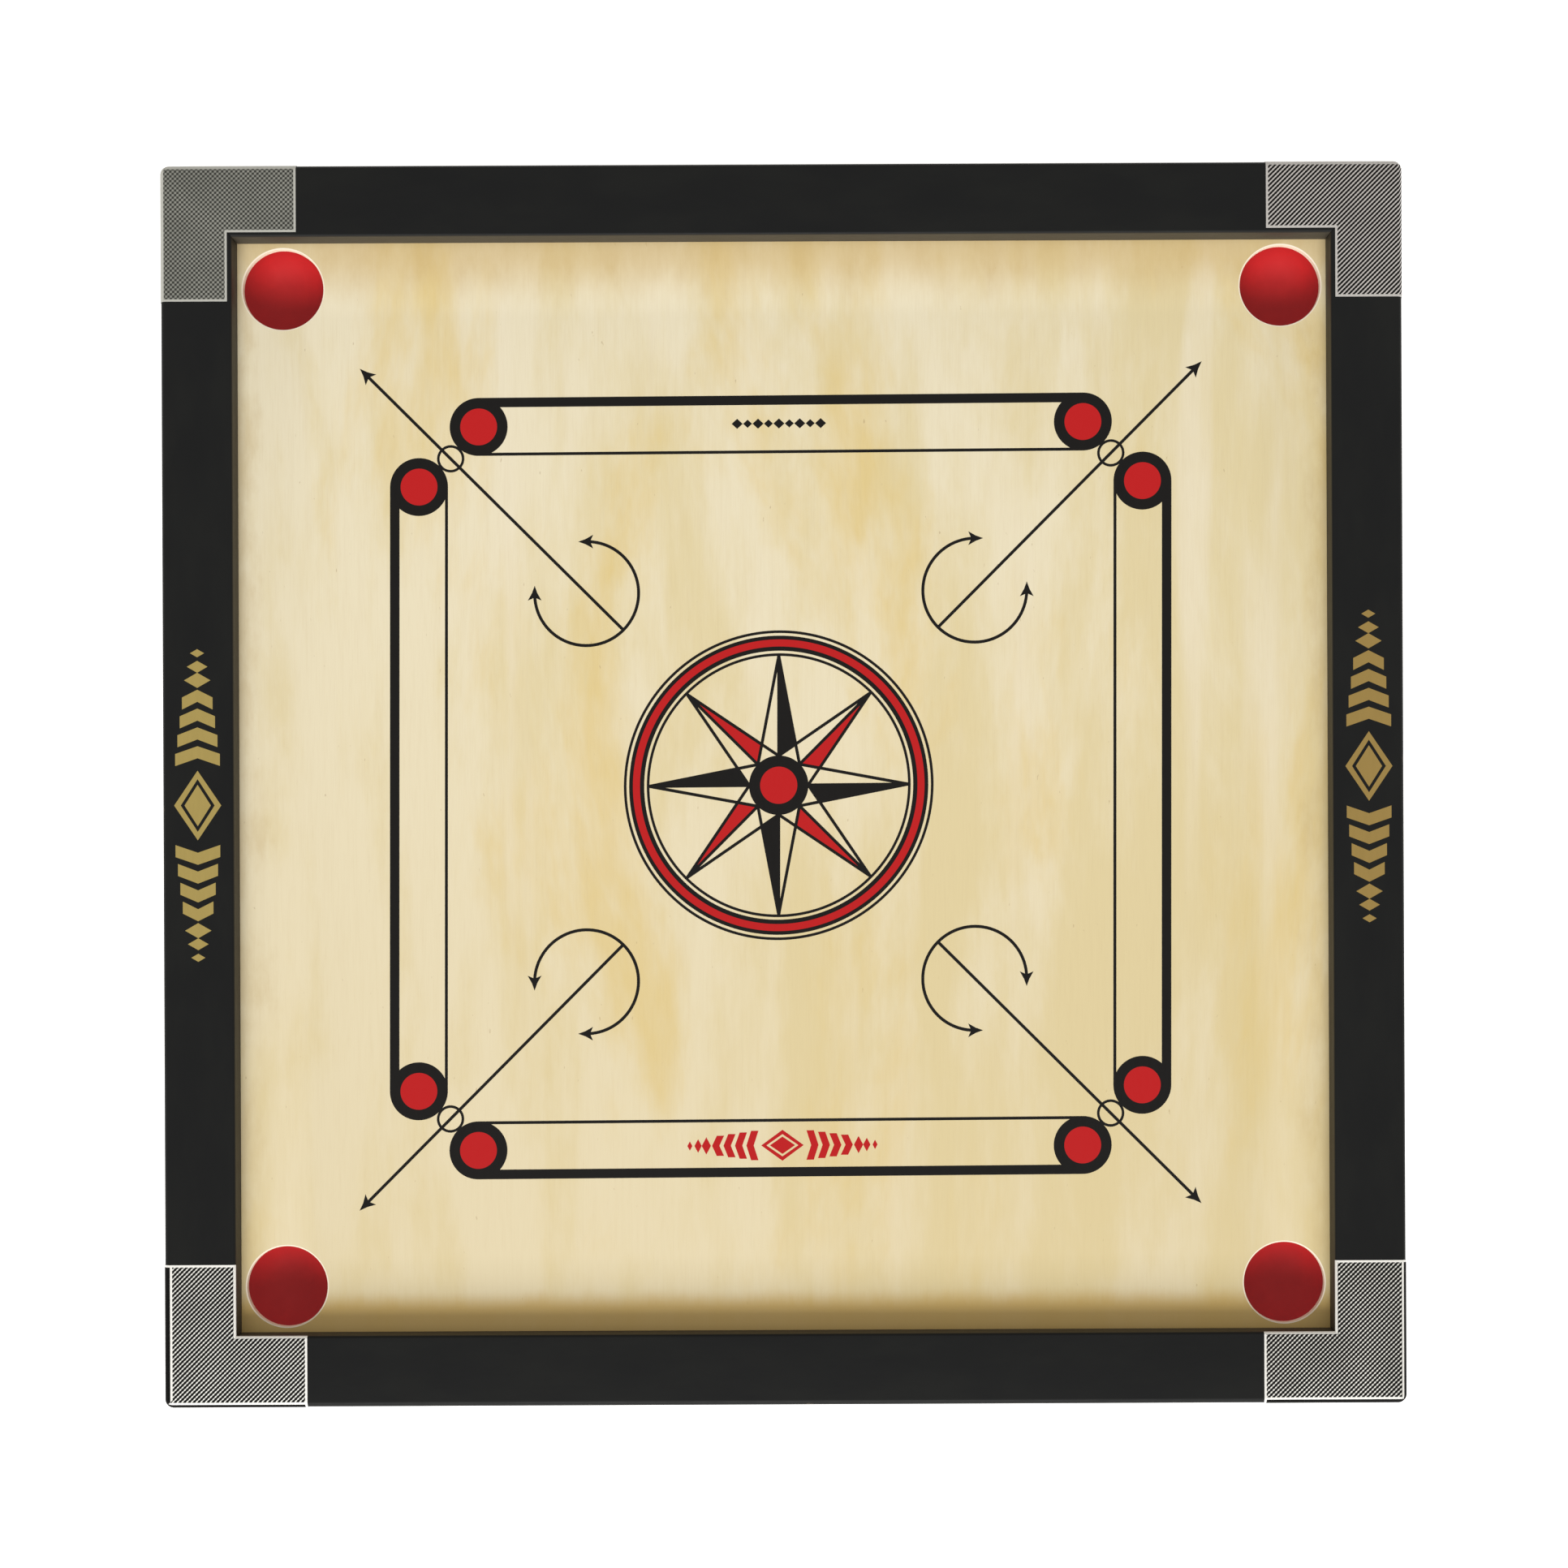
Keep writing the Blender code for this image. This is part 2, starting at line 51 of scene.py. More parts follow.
# The frame's own sizes
SHEET_LOW, SHEET_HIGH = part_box("play_surface")
RAIL_LOW, RAIL_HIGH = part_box("rail_front")
CUP_LOW, CUP_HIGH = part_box("pocket_cup_front_right")
BATTEN_LOW, BATTEN_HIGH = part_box("batten_crossways")
HALF_BOARD = -RAIL_LOW.y
HALF_OPENING = -RAIL_HIGH.y
RAIL_TOP = RAIL_HIGH.z
SHEET_TOP = SHEET_HIGH.z
SHEET_UNDERSIDE = SHEET_LOW.z
HALF_SHEET = SHEET_HIGH.x
POCKET_CENTRE = (CUP_LOW.x + CUP_HIGH.x) / 2

# The frame's sizes that no box gives
CLEARANCE = 0.3 * MM  # round a piece that fits into another
REBATE_FACE = HALF_SHEET + CLEARANCE
LIP_UNDERSIDE = SHEET_TOP + 0.2 * MM
OUTER_EDGE_RADIUS = 3.2 * MM
INNER_EDGE_RADIUS = 1.6 * MM
OUTER_EDGE_CENTRE = (HALF_BOARD - OUTER_EDGE_RADIUS, RAIL_TOP - OUTER_EDGE_RADIUS)
INNER_EDGE_CENTRE = (HALF_OPENING + INNER_EDGE_RADIUS, RAIL_TOP - INNER_EDGE_RADIUS)
FOOT_CHAMFER = 1.0 * MM
CORNER_CENTRE = HALF_BOARD - 4.5 * MM
MITRE_GAP = 0.2 * MM
NOTCH_TOP = 10.1 * MM
TONGUE_TOP = 9.8 * MM
BATTEN_BODY_END = REBATE_FACE - CLEARANCE
LAP_GAP = 0.3 * MM  # between the two battens, where they are halved
PLIES = 5
POCKET_RADIUS = 21.5 * MM
CUP_RADIUS = 22.0 * MM
CUP_WALL = 1.6 * MM
CUP_FLANGE_RADIUS = 31.0 * MM
CUP_FLANGE_THICKNESS = 1.8 * MM
CUP_FLOOR = 3.0 * MM
TACK_HEAD_RADIUS = 2.8 * MM
TACK_HEAD_HEIGHT = 1.3 * MM
TACK_SHANK_RADIUS = 0.7 * MM
TACK_POINT = 2.1 * MM
PIN_HEAD_RADIUS = 2.2 * MM
PIN_HEAD_HEIGHT = 1.0 * MM
PIN_SHANK_RADIUS = 0.8 * MM
PIN_POINT = 3.2 * MM
SCREW_HEAD_RADIUS = 3.5 * MM
SCREW_HEAD_HEIGHT = 2.1 * MM
SCREW_SHANK_RADIUS = 1.6 * MM
SCREW_POINT = 4.8 * MM
FOIL_STANDOFF = 0.1 * MM
FOIL_THICKNESS = 0.2 * MM
FOIL_SKIRT = 20.0 * MM
FOIL_PITCH = 1.77 * MM  # between the printed rows
FOIL_BORDER = 1.15 * MM
SIDES = {"front": 0, "right": 1, "back": 2, "left": 3}
CORNERS = {"front_right": (1, -1), "back_right": (1, 1), "back_left": (-1, 1), "front_left": (-1, -1)}


# ---------------------------------------------------------------- materials


def srgb(red, green, blue):
    """A colour given as it looks on screen, from 0 to 255, as the linear colour that shaders take."""
    linear = [
        c / 12.92 if c <= 0.04045 else ((c + 0.055) / 1.055) ** 2.4
        for c in (red / 255, green / 255, blue / 255)
    ]
    return (*linear, 1.0)


class Shader:
    """A Principled material, with one short call for each kind of node that the materials use."""

    def __init__(self, name, **values):
        self.material = bpy.data.materials.new(name)
        self.material.use_nodes = True
        self.tree = self.material.node_tree
        self.principled = self.tree.nodes["Principled BSDF"]
        for socket, value in values.items():
            self.set(socket.replace("_", " "), value)
        self.where = None

    def feed(self, socket, value):
        if isinstance(value, bpy.types.NodeSocket):
            self.tree.links.new(value, socket)
        else:
            socket.default_value = value

    def set(self, socket, value):
        self.feed(self.principled.inputs[socket], value)

    def add(self, kind, settings, *values):
        node = self.tree.nodes.new(kind)
        for key, value in settings.items():
            setattr(node, key, value)
        for socket, value in zip(node.inputs, values):
            if value is not None:
                self.feed(socket, value)
        return node

    def place(self):
        """Where a point of the piece is, in its object's own metres."""
        if self.where is None:
            self.where = self.add("ShaderNodeTexCoord", {}).outputs["Object"]
        return self.where

    def stretched(self, scale, shift=(0.0, 0.0, 0.0)):
        node = self.add("ShaderNodeMapping", {}, self.place(), shift)
        node.inputs["Scale"].default_value = scale
        return node.outputs[0]

    def noise(self, scale, detail=2.0, roughness=0.5, distortion=0.0, shift=(0.0, 0.0, 0.0)):
        """Smooth noise from 0 to 1, with a number of features per metre along each axis."""
        node = self.add("ShaderNodeTexNoise", {})
        self.feed(node.inputs["Vector"], self.stretched(scale, shift))
        node.inputs["Scale"].default_value = 1.0
        node.inputs["Detail"].default_value = detail
        node.inputs["Roughness"].default_value = roughness
        node.inputs["Distortion"].default_value = distortion
        return node.outputs["Fac"]

    def maths(self, operation, first, second=0.0, third=None, clamp=False):
        settings = {"operation": operation, "use_clamp": clamp}
        return self.add("ShaderNodeMath", settings, first, second, third).outputs[0]

    def step(self, value, low, high, to_low=0.0, to_high=1.0):
        """A smooth step from to_low to to_high, as value goes from low to high."""
        node = self.add("ShaderNodeMapRange", {"interpolation_type": "SMOOTHSTEP"}, value, low, high)
        node.inputs["To Min"].default_value = to_low
        node.inputs["To Max"].default_value = to_high
        return node.outputs[0]

    def blend(self, share, first, second):
        node = self.add("ShaderNodeMix", {"data_type": "RGBA"})
        self.feed(node.inputs["Factor"], share)
        self.feed(node.inputs[6], first)
        self.feed(node.inputs[7], second)
        return node.outputs[2]

    def axes(self):
        return self.add("ShaderNodeSeparateXYZ", {}, self.place()).outputs

    def bump(self, height, distance, strength):
        node = self.add("ShaderNodeBump", {})
        node.inputs["Strength"].default_value = strength
        node.inputs["Distance"].default_value = distance
        self.feed(node.inputs["Height"], height)
        self.set("Normal", node.outputs[0])


def ragged_reach(s, distance, ragged, spread):
    """A distance made uneven, so that the painted shade and stain set by it have a ragged edge."""
    return s.maths("ADD", distance, s.maths("MULTIPLY", s.maths("SUBTRACT", ragged, 0.5), spread))


def mottled_veneer(s, x, y):
    """The colour of pale rotary-cut veneer with its grain along Y, a little yellower towards +X."""
    mottle = s.noise((17.0, 4.5, 1.0), detail=6.0, roughness=0.62, distortion=0.2)
    yellower = s.maths("ADD", s.maths("MULTIPLY", x, 0.3), s.maths("MULTIPLY", y, -0.03))
    mottle = s.maths("ADD", mottle, yellower)
    colour = s.blend(s.step(mottle, 0.4, 0.64), srgb(243, 234, 206), srgb(233, 219, 175))
    amber = s.noise((9.0, 2.8, 1.0), detail=6.0, roughness=0.6, distortion=0.3, shift=(3.1, 1.7, 0.0))
    colour = s.blend(s.step(amber, 0.5, 0.66, 0.0, 0.75), colour, srgb(231, 205, 130))
    pale = s.noise((30.0, 2.4, 1.0), detail=3.0, shift=(7.7, 4.2, 0.0))
    return s.blend(s.step(pale, 0.56, 0.74, 0.0, 0.65), colour, srgb(245, 236, 212))


def edges_with_painted_shade(s, x, y, colour):
    """The veneer's colour with painted shade: darker and yellower along the rails, most of all along the
    front one, and darker towards the front; along the rails some of it is real stain.
    """
    reach = s.maths("MAXIMUM", s.maths("ABSOLUTE", x), s.maths("ABSOLUTE", y))
    ragged = s.noise((60.0, 24.0, 1.0), detail=5.0, roughness=0.65, shift=(5.0, 0.0, 0.0))
    # Darker and yellower along every rail: partly a real stain, partly painted shade from the rails.
    edge = ragged_reach(s, reach, ragged, 60 * MM)
    edge = s.step(edge, HALF_OPENING - 16 * MM, HALF_OPENING + 8 * MM, 0.0, 0.34)
    colour = s.blend(edge, colour, srgb(194, 163, 98))
    # Painted shadow of the front rail, made darker and warmer than the lamp alone casts it.
    front = ragged_reach(s, y, ragged, 8 * MM)
    front = s.step(front, -(HALF_OPENING - 23 * MM), -(HALF_OPENING - 11 * MM), 0.0, 0.85)
    colour = s.blend(front, colour, srgb(212, 170, 72))
    # Painted shade: the veneer darkens towards the front, as if the light fell off there.
    dusk = s.step(y, 260 * MM, -320 * MM, 0.0, 0.44)
    colour = s.blend(dusk, colour, srgb(198, 178, 128))
    # Painted shade along the back rail.
    back = ragged_reach(s, y, ragged, 20 * MM)
    back = s.step(back, HALF_OPENING - 36 * MM, HALF_OPENING - 8 * MM, 0.0, 0.63)
    return s.blend(back, colour, srgb(204, 177, 120))


def ply_face_material():
    """Veneer under a satin varnish."""
    s = Shader("ply_face", Roughness=0.4, Coat_Weight=0.2, Coat_Roughness=0.3, Specular_IOR_Level=0.3)
    x, y, _ = s.axes()
    colour = mottled_veneer(s, x, y)
    fibre = s.noise((420.0, 16.0, 1.0), detail=5.0, roughness=0.7)
    colour = s.blend(s.step(fibre, 0.4, 0.75, 0.0, 0.1), colour, srgb(205, 182, 132))
    grain = s.noise((1500.0, 60.0, 1.0), detail=2.0, roughness=0.6)
    colour = s.blend(s.step(grain, 0.45, 0.8, 0.0, 0.09), colour, srgb(196, 172, 124))
    fleck = s.noise((420.0, 150.0, 1.0), detail=2.0, shift=(2.0, 9.0, 0.0))
    colour = s.blend(s.step(fleck, 0.73, 0.79, 0.0, 0.4), colour, srgb(156, 124, 80))
    s.set("Base Color", edges_with_painted_shade(s, x, y, colour))
    s.set("Roughness", s.step(fibre, 0.3, 0.7, 0.34, 0.46))
    s.bump(s.maths("ADD", grain, fibre), 0.02 * MM, 0.5)
    return s.material


def ply_edge_material():
    """The cut edge of the sheet, where its five veneers show as bands."""
    s = Shader("ply_edge", Roughness=0.6)
    height = s.axes()[2]
    depth = s.maths("DIVIDE", s.maths("SUBTRACT", SHEET_TOP, height), SHEET_TOP - SHEET_UNDERSIDE)
    band = s.maths("PINGPONG", s.maths("MULTIPLY", depth, PLIES), 1.0)
    fuzz = s.noise((700.0, 700.0, 120.0), detail=3.0)
    uneven = s.maths("MULTIPLY", s.maths("SUBTRACT", fuzz, 0.5), 0.8)
    share = s.maths("ADD", s.step(band, 0.3, 0.7), uneven, clamp=True)
    s.set("Base Color", s.blend(share, srgb(253, 242, 224), srgb(238, 218, 188)))
    s.bump(fuzz, 0.1 * MM, 0.6)
    return s.material


def ply_back_material():
    """The sheet's unvarnished underside."""
    s = Shader("ply_back", Roughness=0.75)
    blotch = s.noise((7.0, 3.0, 1.0), detail=4.0, shift=(4.0, 8.0, 0.0))
    colour = s.blend(s.step(blotch, 0.35, 0.7), srgb(214, 184, 138), srgb(190, 150, 102))
    grain = s.noise((600.0, 12.0, 1.0), detail=4.0, roughness=0.65)
    colour = s.blend(s.step(grain, 0.4, 0.75, 0.0, 0.5), colour, srgb(158, 118, 76))
    s.set("Base Color", colour)
    s.bump(grain, 0.08 * MM, 0.6)
    return s.material


def lacquer_material():
    """Black lacquer over a wooden rail that lies along its object's X."""
    s = Shader("black_lacquer", Roughness=0.45, Specular_IOR_Level=0.08)
    cloud = s.noise((26.0, 60.0, 60.0), detail=3.0)
    colour = s.blend(s.step(cloud, 0.3, 0.75), srgb(29, 30, 31), srgb(32, 33, 33))
    scuff = s.noise((90.0, 900.0, 900.0), detail=3.0, roughness=0.7)
    colour = s.blend(s.step(scuff, 0.72, 0.84, 0.0, 0.12), colour, srgb(84, 82, 80))
    _, y, z = s.axes()
    out = s.step(y, -(HALF_BOARD - 1.6 * MM), -HALF_BOARD)
    up = s.step(z, RAIL_TOP - 4.0 * MM, RAIL_TOP - 1.0 * MM)
    chip = s.step(s.noise((130.0, 260.0, 260.0), detail=5.0, roughness=0.75), 0.63, 0.67)
    worn = s.maths("MULTIPLY", s.maths("MULTIPLY", out, up), chip)
    colour = s.blend(worn, colour, srgb(120, 110, 96))
    # Painted reflection: the lower inner face of each rail is lightened as if it mirrored the pale sheet.
    inner_face = s.step(y, -(HALF_OPENING + MM), -(HALF_OPENING + 0.3 * MM))
    sheet_reflection = s.maths("MULTIPLY", inner_face, s.step(z, RAIL_TOP - 0.3 * MM, RAIL_TOP - 1.4 * MM))
    colour = s.blend(sheet_reflection, colour, srgb(70, 66, 58))
    s.set("Base Color", colour)
    peel = s.noise((420.0, 420.0, 420.0), detail=2.0)
    telegraph = s.noise((9.0, 500.0, 500.0), detail=3.0)
    s.set("Roughness", s.step(scuff, 0.3, 0.8, 0.4, 0.52))
    s.bump(s.maths("ADD", peel, s.maths("MULTIPLY", telegraph, 0.7)), 0.012 * MM, 0.6)
    return s.material


class Film(NamedTuple):
    """How one corner's film is cut and printed, with colours that also hold painted highlight and shade."""

    leg: float  # along each rail
    strip: float  # of rail left bare along its inner edge; without one the film folds over the edge
    end_line: tuple  # where the line along the front or back face starts and ends, past HALF_BOARD
    side_line: tuple  # and where the line along the left or right face does
    silver: tuple
    border: tuple
    ink: tuple
    row_weight: float  # from 0.5, separate round checks, to 1, unbroken stripes
    cover: float  # the level of the pattern above which it is inked


# The two ways that a film is cut, as its leg and its strip
FRONT_CUT = (76.0 * MM, 0.0)
BACK_CUT = (72.5 * MM, 2.3 * MM)

# The plain line near a film's outer fold, which slips with how the film was laid
OVER_FOLD = (-2.2 * MM, 2.6 * MM)
ON_SKIRT = (3.4 * MM, 4.6 * MM)
FOLD_DROP = 2.2 * MM  # how far below the rail's top the fold still shows from above


def line_at(start):
    """A line as wide as the border."""
    return (start, start + FOIL_BORDER)


# Each corner's silver, border and ink are lit and shaded copies of one film: the front films' lighter silver
# and blacker ink are a painted highlight from the front light, and the back films are duller as painted
# shade.
FILMS = {
    "front_right": Film(
        *FRONT_CUT, line_at(-3.3 * MM), line_at(-2.8 * MM),
        silver=(232, 232, 228), border=(240, 240, 237), ink=(10, 10, 10), row_weight=0.72, cover=-0.38,
    ),
    "back_right": Film(
        *BACK_CUT, OVER_FOLD, ON_SKIRT,
        silver=(226, 223, 222), border=(200, 198, 196), ink=(16, 16, 16), row_weight=0.85, cover=-0.28,
    ),
    "back_left": Film(
        *BACK_CUT, OVER_FOLD, OVER_FOLD,
        silver=(178, 180, 174), border=(194, 195, 190), ink=(58, 59, 56), row_weight=0.52, cover=-0.1,
    ),
    "front_left": Film(
        *FRONT_CUT, line_at(-2.9 * MM), line_at(-4.4 * MM),
        silver=(238, 239, 236), border=(250, 250, 248), ink=(10, 10, 10), row_weight=0.78, cover=-0.4,
    ),
}


def foil_checks(s, film, x, y, drop):
    """A wave for checks in slanting rows, which runs on down the skirts as on the unfolded film."""
    normal = s.add("ShaderNodeTexCoord", {}).outputs["Normal"]
    nx, ny, _ = s.add("ShaderNodeSeparateXYZ", {}, normal).outputs
    sideways = s.maths("GREATER_THAN", s.maths("ABSOLUTE", nx), s.maths("ABSOLUTE", ny))
    endways = s.maths("SUBTRACT", 1.0, sideways)
    flat_x = s.maths("ADD", x, s.maths("MULTIPLY", s.maths("MULTIPLY", drop, sideways), s.maths("SIGN", x)))
    flat_y = s.maths("ADD", y, s.maths("MULTIPLY", s.maths("MULTIPLY", drop, endways), s.maths("SIGN", y)))
    turn = 2 * math.pi / (FOIL_PITCH * math.sqrt(2))
    along = s.maths("COSINE", s.maths("MULTIPLY", s.maths("ADD", flat_x, flat_y), turn))
    across = s.maths("COSINE", s.maths("MULTIPLY", s.maths("SUBTRACT", flat_x, flat_y), turn))
    rows = s.maths("MULTIPLY", across, film.row_weight)
    return s.maths("ADD", rows, s.maths("MULTIPLY", along, 1.0 - film.row_weight))


def foil_material(name, film):
    """Silver film with black checks inside a plain silver border and a line near its outer fold."""
    s = Shader(name, Roughness=0.65, Metallic=1.0, Specular_IOR_Level=0.1)
    x, y, z = s.axes()
    drop = s.maths("MAXIMUM", s.maths("SUBTRACT", RAIL_TOP, z), 0.0)
    reach_x = s.maths("ABSOLUTE", x)
    reach_y = s.maths("ABSOLUTE", y)
    far = s.maths("MAXIMUM", reach_x, reach_y)
    near = s.maths("MINIMUM", reach_x, reach_y)
    unfolded = s.maths("ADD", far, drop)
    on_side = s.maths("GREATER_THAN", reach_x, reach_y)
    line_start, line_end = (
        s.maths("MULTIPLY_ADD", on_side, side - end, HALF_BOARD + end)
        for end, side in zip(film.end_line, film.side_line)
    )
    before_line = s.maths("LESS_THAN", unfolded, line_start)
    past_line = s.maths("GREATER_THAN", unfolded, line_end)
    on_fold = s.maths("MULTIPLY", past_line, s.maths("LESS_THAN", drop, FOLD_DROP))
    denser = s.maths("MULTIPLY", on_fold, 0.9)  # the checks close up where they are seen along the fold
    checks = s.maths("ADD", foil_checks(s, film, x, y, drop), denser)
    black = s.step(checks, film.cover - 0.4, film.cover + 0.4)
    inside = s.maths("GREATER_THAN", near, HALF_BOARD - film.leg + FOIL_BORDER)
    inner_border = HALF_OPENING + film.strip + FOIL_BORDER
    inside = s.maths("MULTIPLY", inside, s.maths("GREATER_THAN", far, inner_border))
    inside = s.maths("MULTIPLY", inside, s.maths("LESS_THAN", drop, FOIL_SKIRT - FOIL_BORDER))
    inside = s.maths("MULTIPLY", inside, s.maths("ADD", before_line, past_line))
    printed = s.maths("MULTIPLY", black, inside)
    crease = s.noise((45.0, 45.0, 45.0), detail=3.0, roughness=0.5)
    light, dark = (srgb(*[c + change for c in film.silver]) for change in (6, -8))
    silver = s.blend(inside, srgb(*film.border), s.blend(s.step(crease, 0.3, 0.7), light, dark))
    bare = s.maths("SUBTRACT", 1.0, printed)
    s.set("Base Color", s.blend(printed, silver, srgb(*film.ink)))
    s.set("Metallic", s.maths("MULTIPLY", bare, s.step(inside, 0.0, 1.0, 0.3, 1.0)))
    s.set("Roughness", s.step(crease, 0.3, 0.7, 0.61, 0.69))
    s.bump(s.maths("ADD", crease, s.maths("MULTIPLY", printed, -0.1)), 0.06 * MM, 0.4)
    return s.material


def red_plastic_material():
    """Bright red moulded plastic with a fine matt surface, faintly cloudy."""
    s = Shader("red_plastic", Roughness=0.7, Specular_IOR_Level=0.2)
    s.set("Emission Color", (0.3, 1.0, 1.0, 1.0))  # a faint painted glow, which keeps the plastic's shaded side from going black
    s.set("Emission Strength", 0.01)
    cloud = s.noise((90.0, 90.0, 90.0), detail=3.0)
    s.set("Base Color", s.blend(s.step(cloud, 0.3, 0.7), srgb(192, 22, 25), srgb(186, 20, 24)))
    s.set("Roughness", s.step(cloud, 0.3, 0.7, 0.62, 0.72))
    s.bump(s.noise((800.0, 800.0, 500.0), detail=2.0), 0.015 * MM, 0.5)
    return s.material


def raw_wood_material(name):
    """Planed softwood with its grain along its object's X."""
    s = Shader(name, Roughness=0.7)
    rings = s.noise((5.0, 130.0, 130.0), detail=4.0, roughness=0.6, distortion=0.6)
    colour = s.blend(s.step(rings, 0.35, 0.65), srgb(214, 178, 126), srgb(182, 138, 86))
    pores = s.noise((60.0, 1600.0, 1600.0), detail=3.0, roughness=0.7)
    colour = s.blend(s.step(pores, 0.5, 0.8, 0.0, 0.5), colour, srgb(140, 100, 60))
    s.set("Base Color", colour)
    s.set("Roughness", s.step(rings, 0.3, 0.7, 0.62, 0.78))
    s.bump(s.maths("ADD", rings, pores), 0.15 * MM, 0.6)
    return s.material


def steel_material():
    """Zinc-plated steel, slightly dulled."""
    s = Shader("zinc_steel", Metallic=1.0, Roughness=0.35)
    dull = s.noise((900.0, 900.0, 900.0), detail=3.0)
    s.set("Base Color", s.blend(s.step(dull, 0.35, 0.7), srgb(206, 206, 204), srgb(164, 166, 166)))
    s.set("Roughness", s.step(dull, 0.3, 0.7, 0.25, 0.5))
    s.bump(dull, 0.02 * MM, 0.5)
    return s.material


def ink_material(name, colour, metallic=0.0, roughness=0.5):
    """Screen ink, a little uneven in its shine."""
    s = Shader(name, Metallic=metallic, Roughness=roughness, Specular_IOR_Level=0.15)
    s.set("Base Color", colour)
    uneven = s.noise((700.0, 90.0, 1.0), detail=3.0)
    s.set("Roughness", s.step(uneven, 0.3, 0.7, roughness - 0.06, roughness + 0.08))
    s.bump(uneven, 0.02 * MM, 0.4)
    return s.material


# ---------------------------------------------------------------- meshes


def smooth(mesh, sharp_angle=30):
    mesh.shade_smooth()
    mesh.set_sharp_from_angle(angle=math.radians(sharp_angle))


def mesh_of(name, bm, *materials, smooth_angle=None):
    bmesh.ops.recalc_face_normals(bm, faces=bm.faces)
    mesh = bpy.data.meshes.new(name)
    bm.to_mesh(mesh)
    bm.free()
    for material in materials:
        mesh.materials.append(material)
    if smooth_angle is not None:
        smooth(mesh, smooth_angle)
    return mesh


def add_object(name, mesh, location=(0.0, 0.0, 0.0), quarter_turns=0):
    made = bpy.data.objects.new(name, mesh)
    bpy.context.scene.collection.objects.link(made)
    made.location = location
    made.rotation_euler = (0.0, 0.0, quarter_turns * math.pi / 2)
    return made


def add_piece(name, mesh, slot, *nodes, location=(0.0, 0.0, 0.0), quarter_turns=0):
    """A piece of the board, which stands for the CAD nodes that it names."""
    made = add_object(name, mesh, location, quarter_turns)
    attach(made, "root")
    if nodes:
        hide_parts(*nodes)
    return made


def arc(centre, radius, start, end, steps):
    angles = [math.radians(start + (end - start) * step / steps) for step in range(steps + 1)]
    return [(centre[0] + radius * math.cos(a), centre[1] + radius * math.sin(a)) for a in angles]


def turned(profile, sides):
    """A bmesh turned about Z from (radius, height) points that start and end on the axis."""
    bm = bmesh.new()
    rings = []
    for radius, height in profile:
        if radius == 0.0:
            rings.append([bm.verts.new((0.0, 0.0, height))] * sides)
            continue
        angles = [2 * math.pi * step / sides for step in range(sides)]
        rings.append([bm.verts.new((radius * math.cos(a), radius * math.sin(a), height)) for a in angles])
    for lower, upper in zip(rings, rings[1:]):
        for step in range(sides):
            after = (step + 1) % sides
            corners = (lower[step], lower[after], upper[after], upper[step])
            bm.faces.new(list(dict.fromkeys(corners)))
    return bm


def add_swept(bm, columns):
    """A solid skinned over a row of matching closed sections, with both ends filled."""
    rings = [[bm.verts.new(point) for point in column] for column in columns]
    for ring, after in zip(rings, rings[1:]):
        for index in range(len(ring)):
            follower = (index + 1) % len(ring)
            bm.faces.new((ring[index], ring[follower], after[follower], after[index]))
    bm.faces.new(rings[0])
    bm.faces.new(rings[-1])
    bmesh.ops.remove_doubles(bm, verts=bm.verts, dist=0.001 * MM)


def add_box(bm, low, high):
    size = Vector(high) - Vector(low)
    middle = (Vector(high) + Vector(low)) / 2
    bmesh.ops.create_cube(bm, size=1.0, matrix=Matrix.Translation(middle) @ Matrix.Diagonal((*size, 1.0)))


def carve(mesh, cutter_bm):
    """A mesh with a cutter's shape taken out of it."""
    target = add_object("carve_target", mesh)
    cutter = add_object("carve_cutter", mesh_of("carve_cutter", cutter_bm))
    modifier = target.modifiers.new("carve", "BOOLEAN")
    modifier.object = cutter
    modifier.operation = "DIFFERENCE"
    modifier.solver = "EXACT"
    bpy.context.view_layer.update()
    carved = bpy.data.meshes.new_from_object(target.evaluated_get(bpy.context.evaluated_depsgraph_get()))
    for spare in (target, cutter):
        bpy.data.objects.remove(spare, do_unlink=True)
    return carved


def corner_point(reach, height, angle):
    """A point at the front right outer corner, from angle 0 on the front face to 90 on the right face."""
    centre = min(reach, CORNER_CENTRE)
    radius = reach - centre
    turn = math.radians(angle)
    return Vector((centre + radius * math.sin(turn), -centre - radius * math.cos(turn), height))


# ---------------------------------------------------------------- flat printed shapes

BARE, BLACK, RED = range(3)


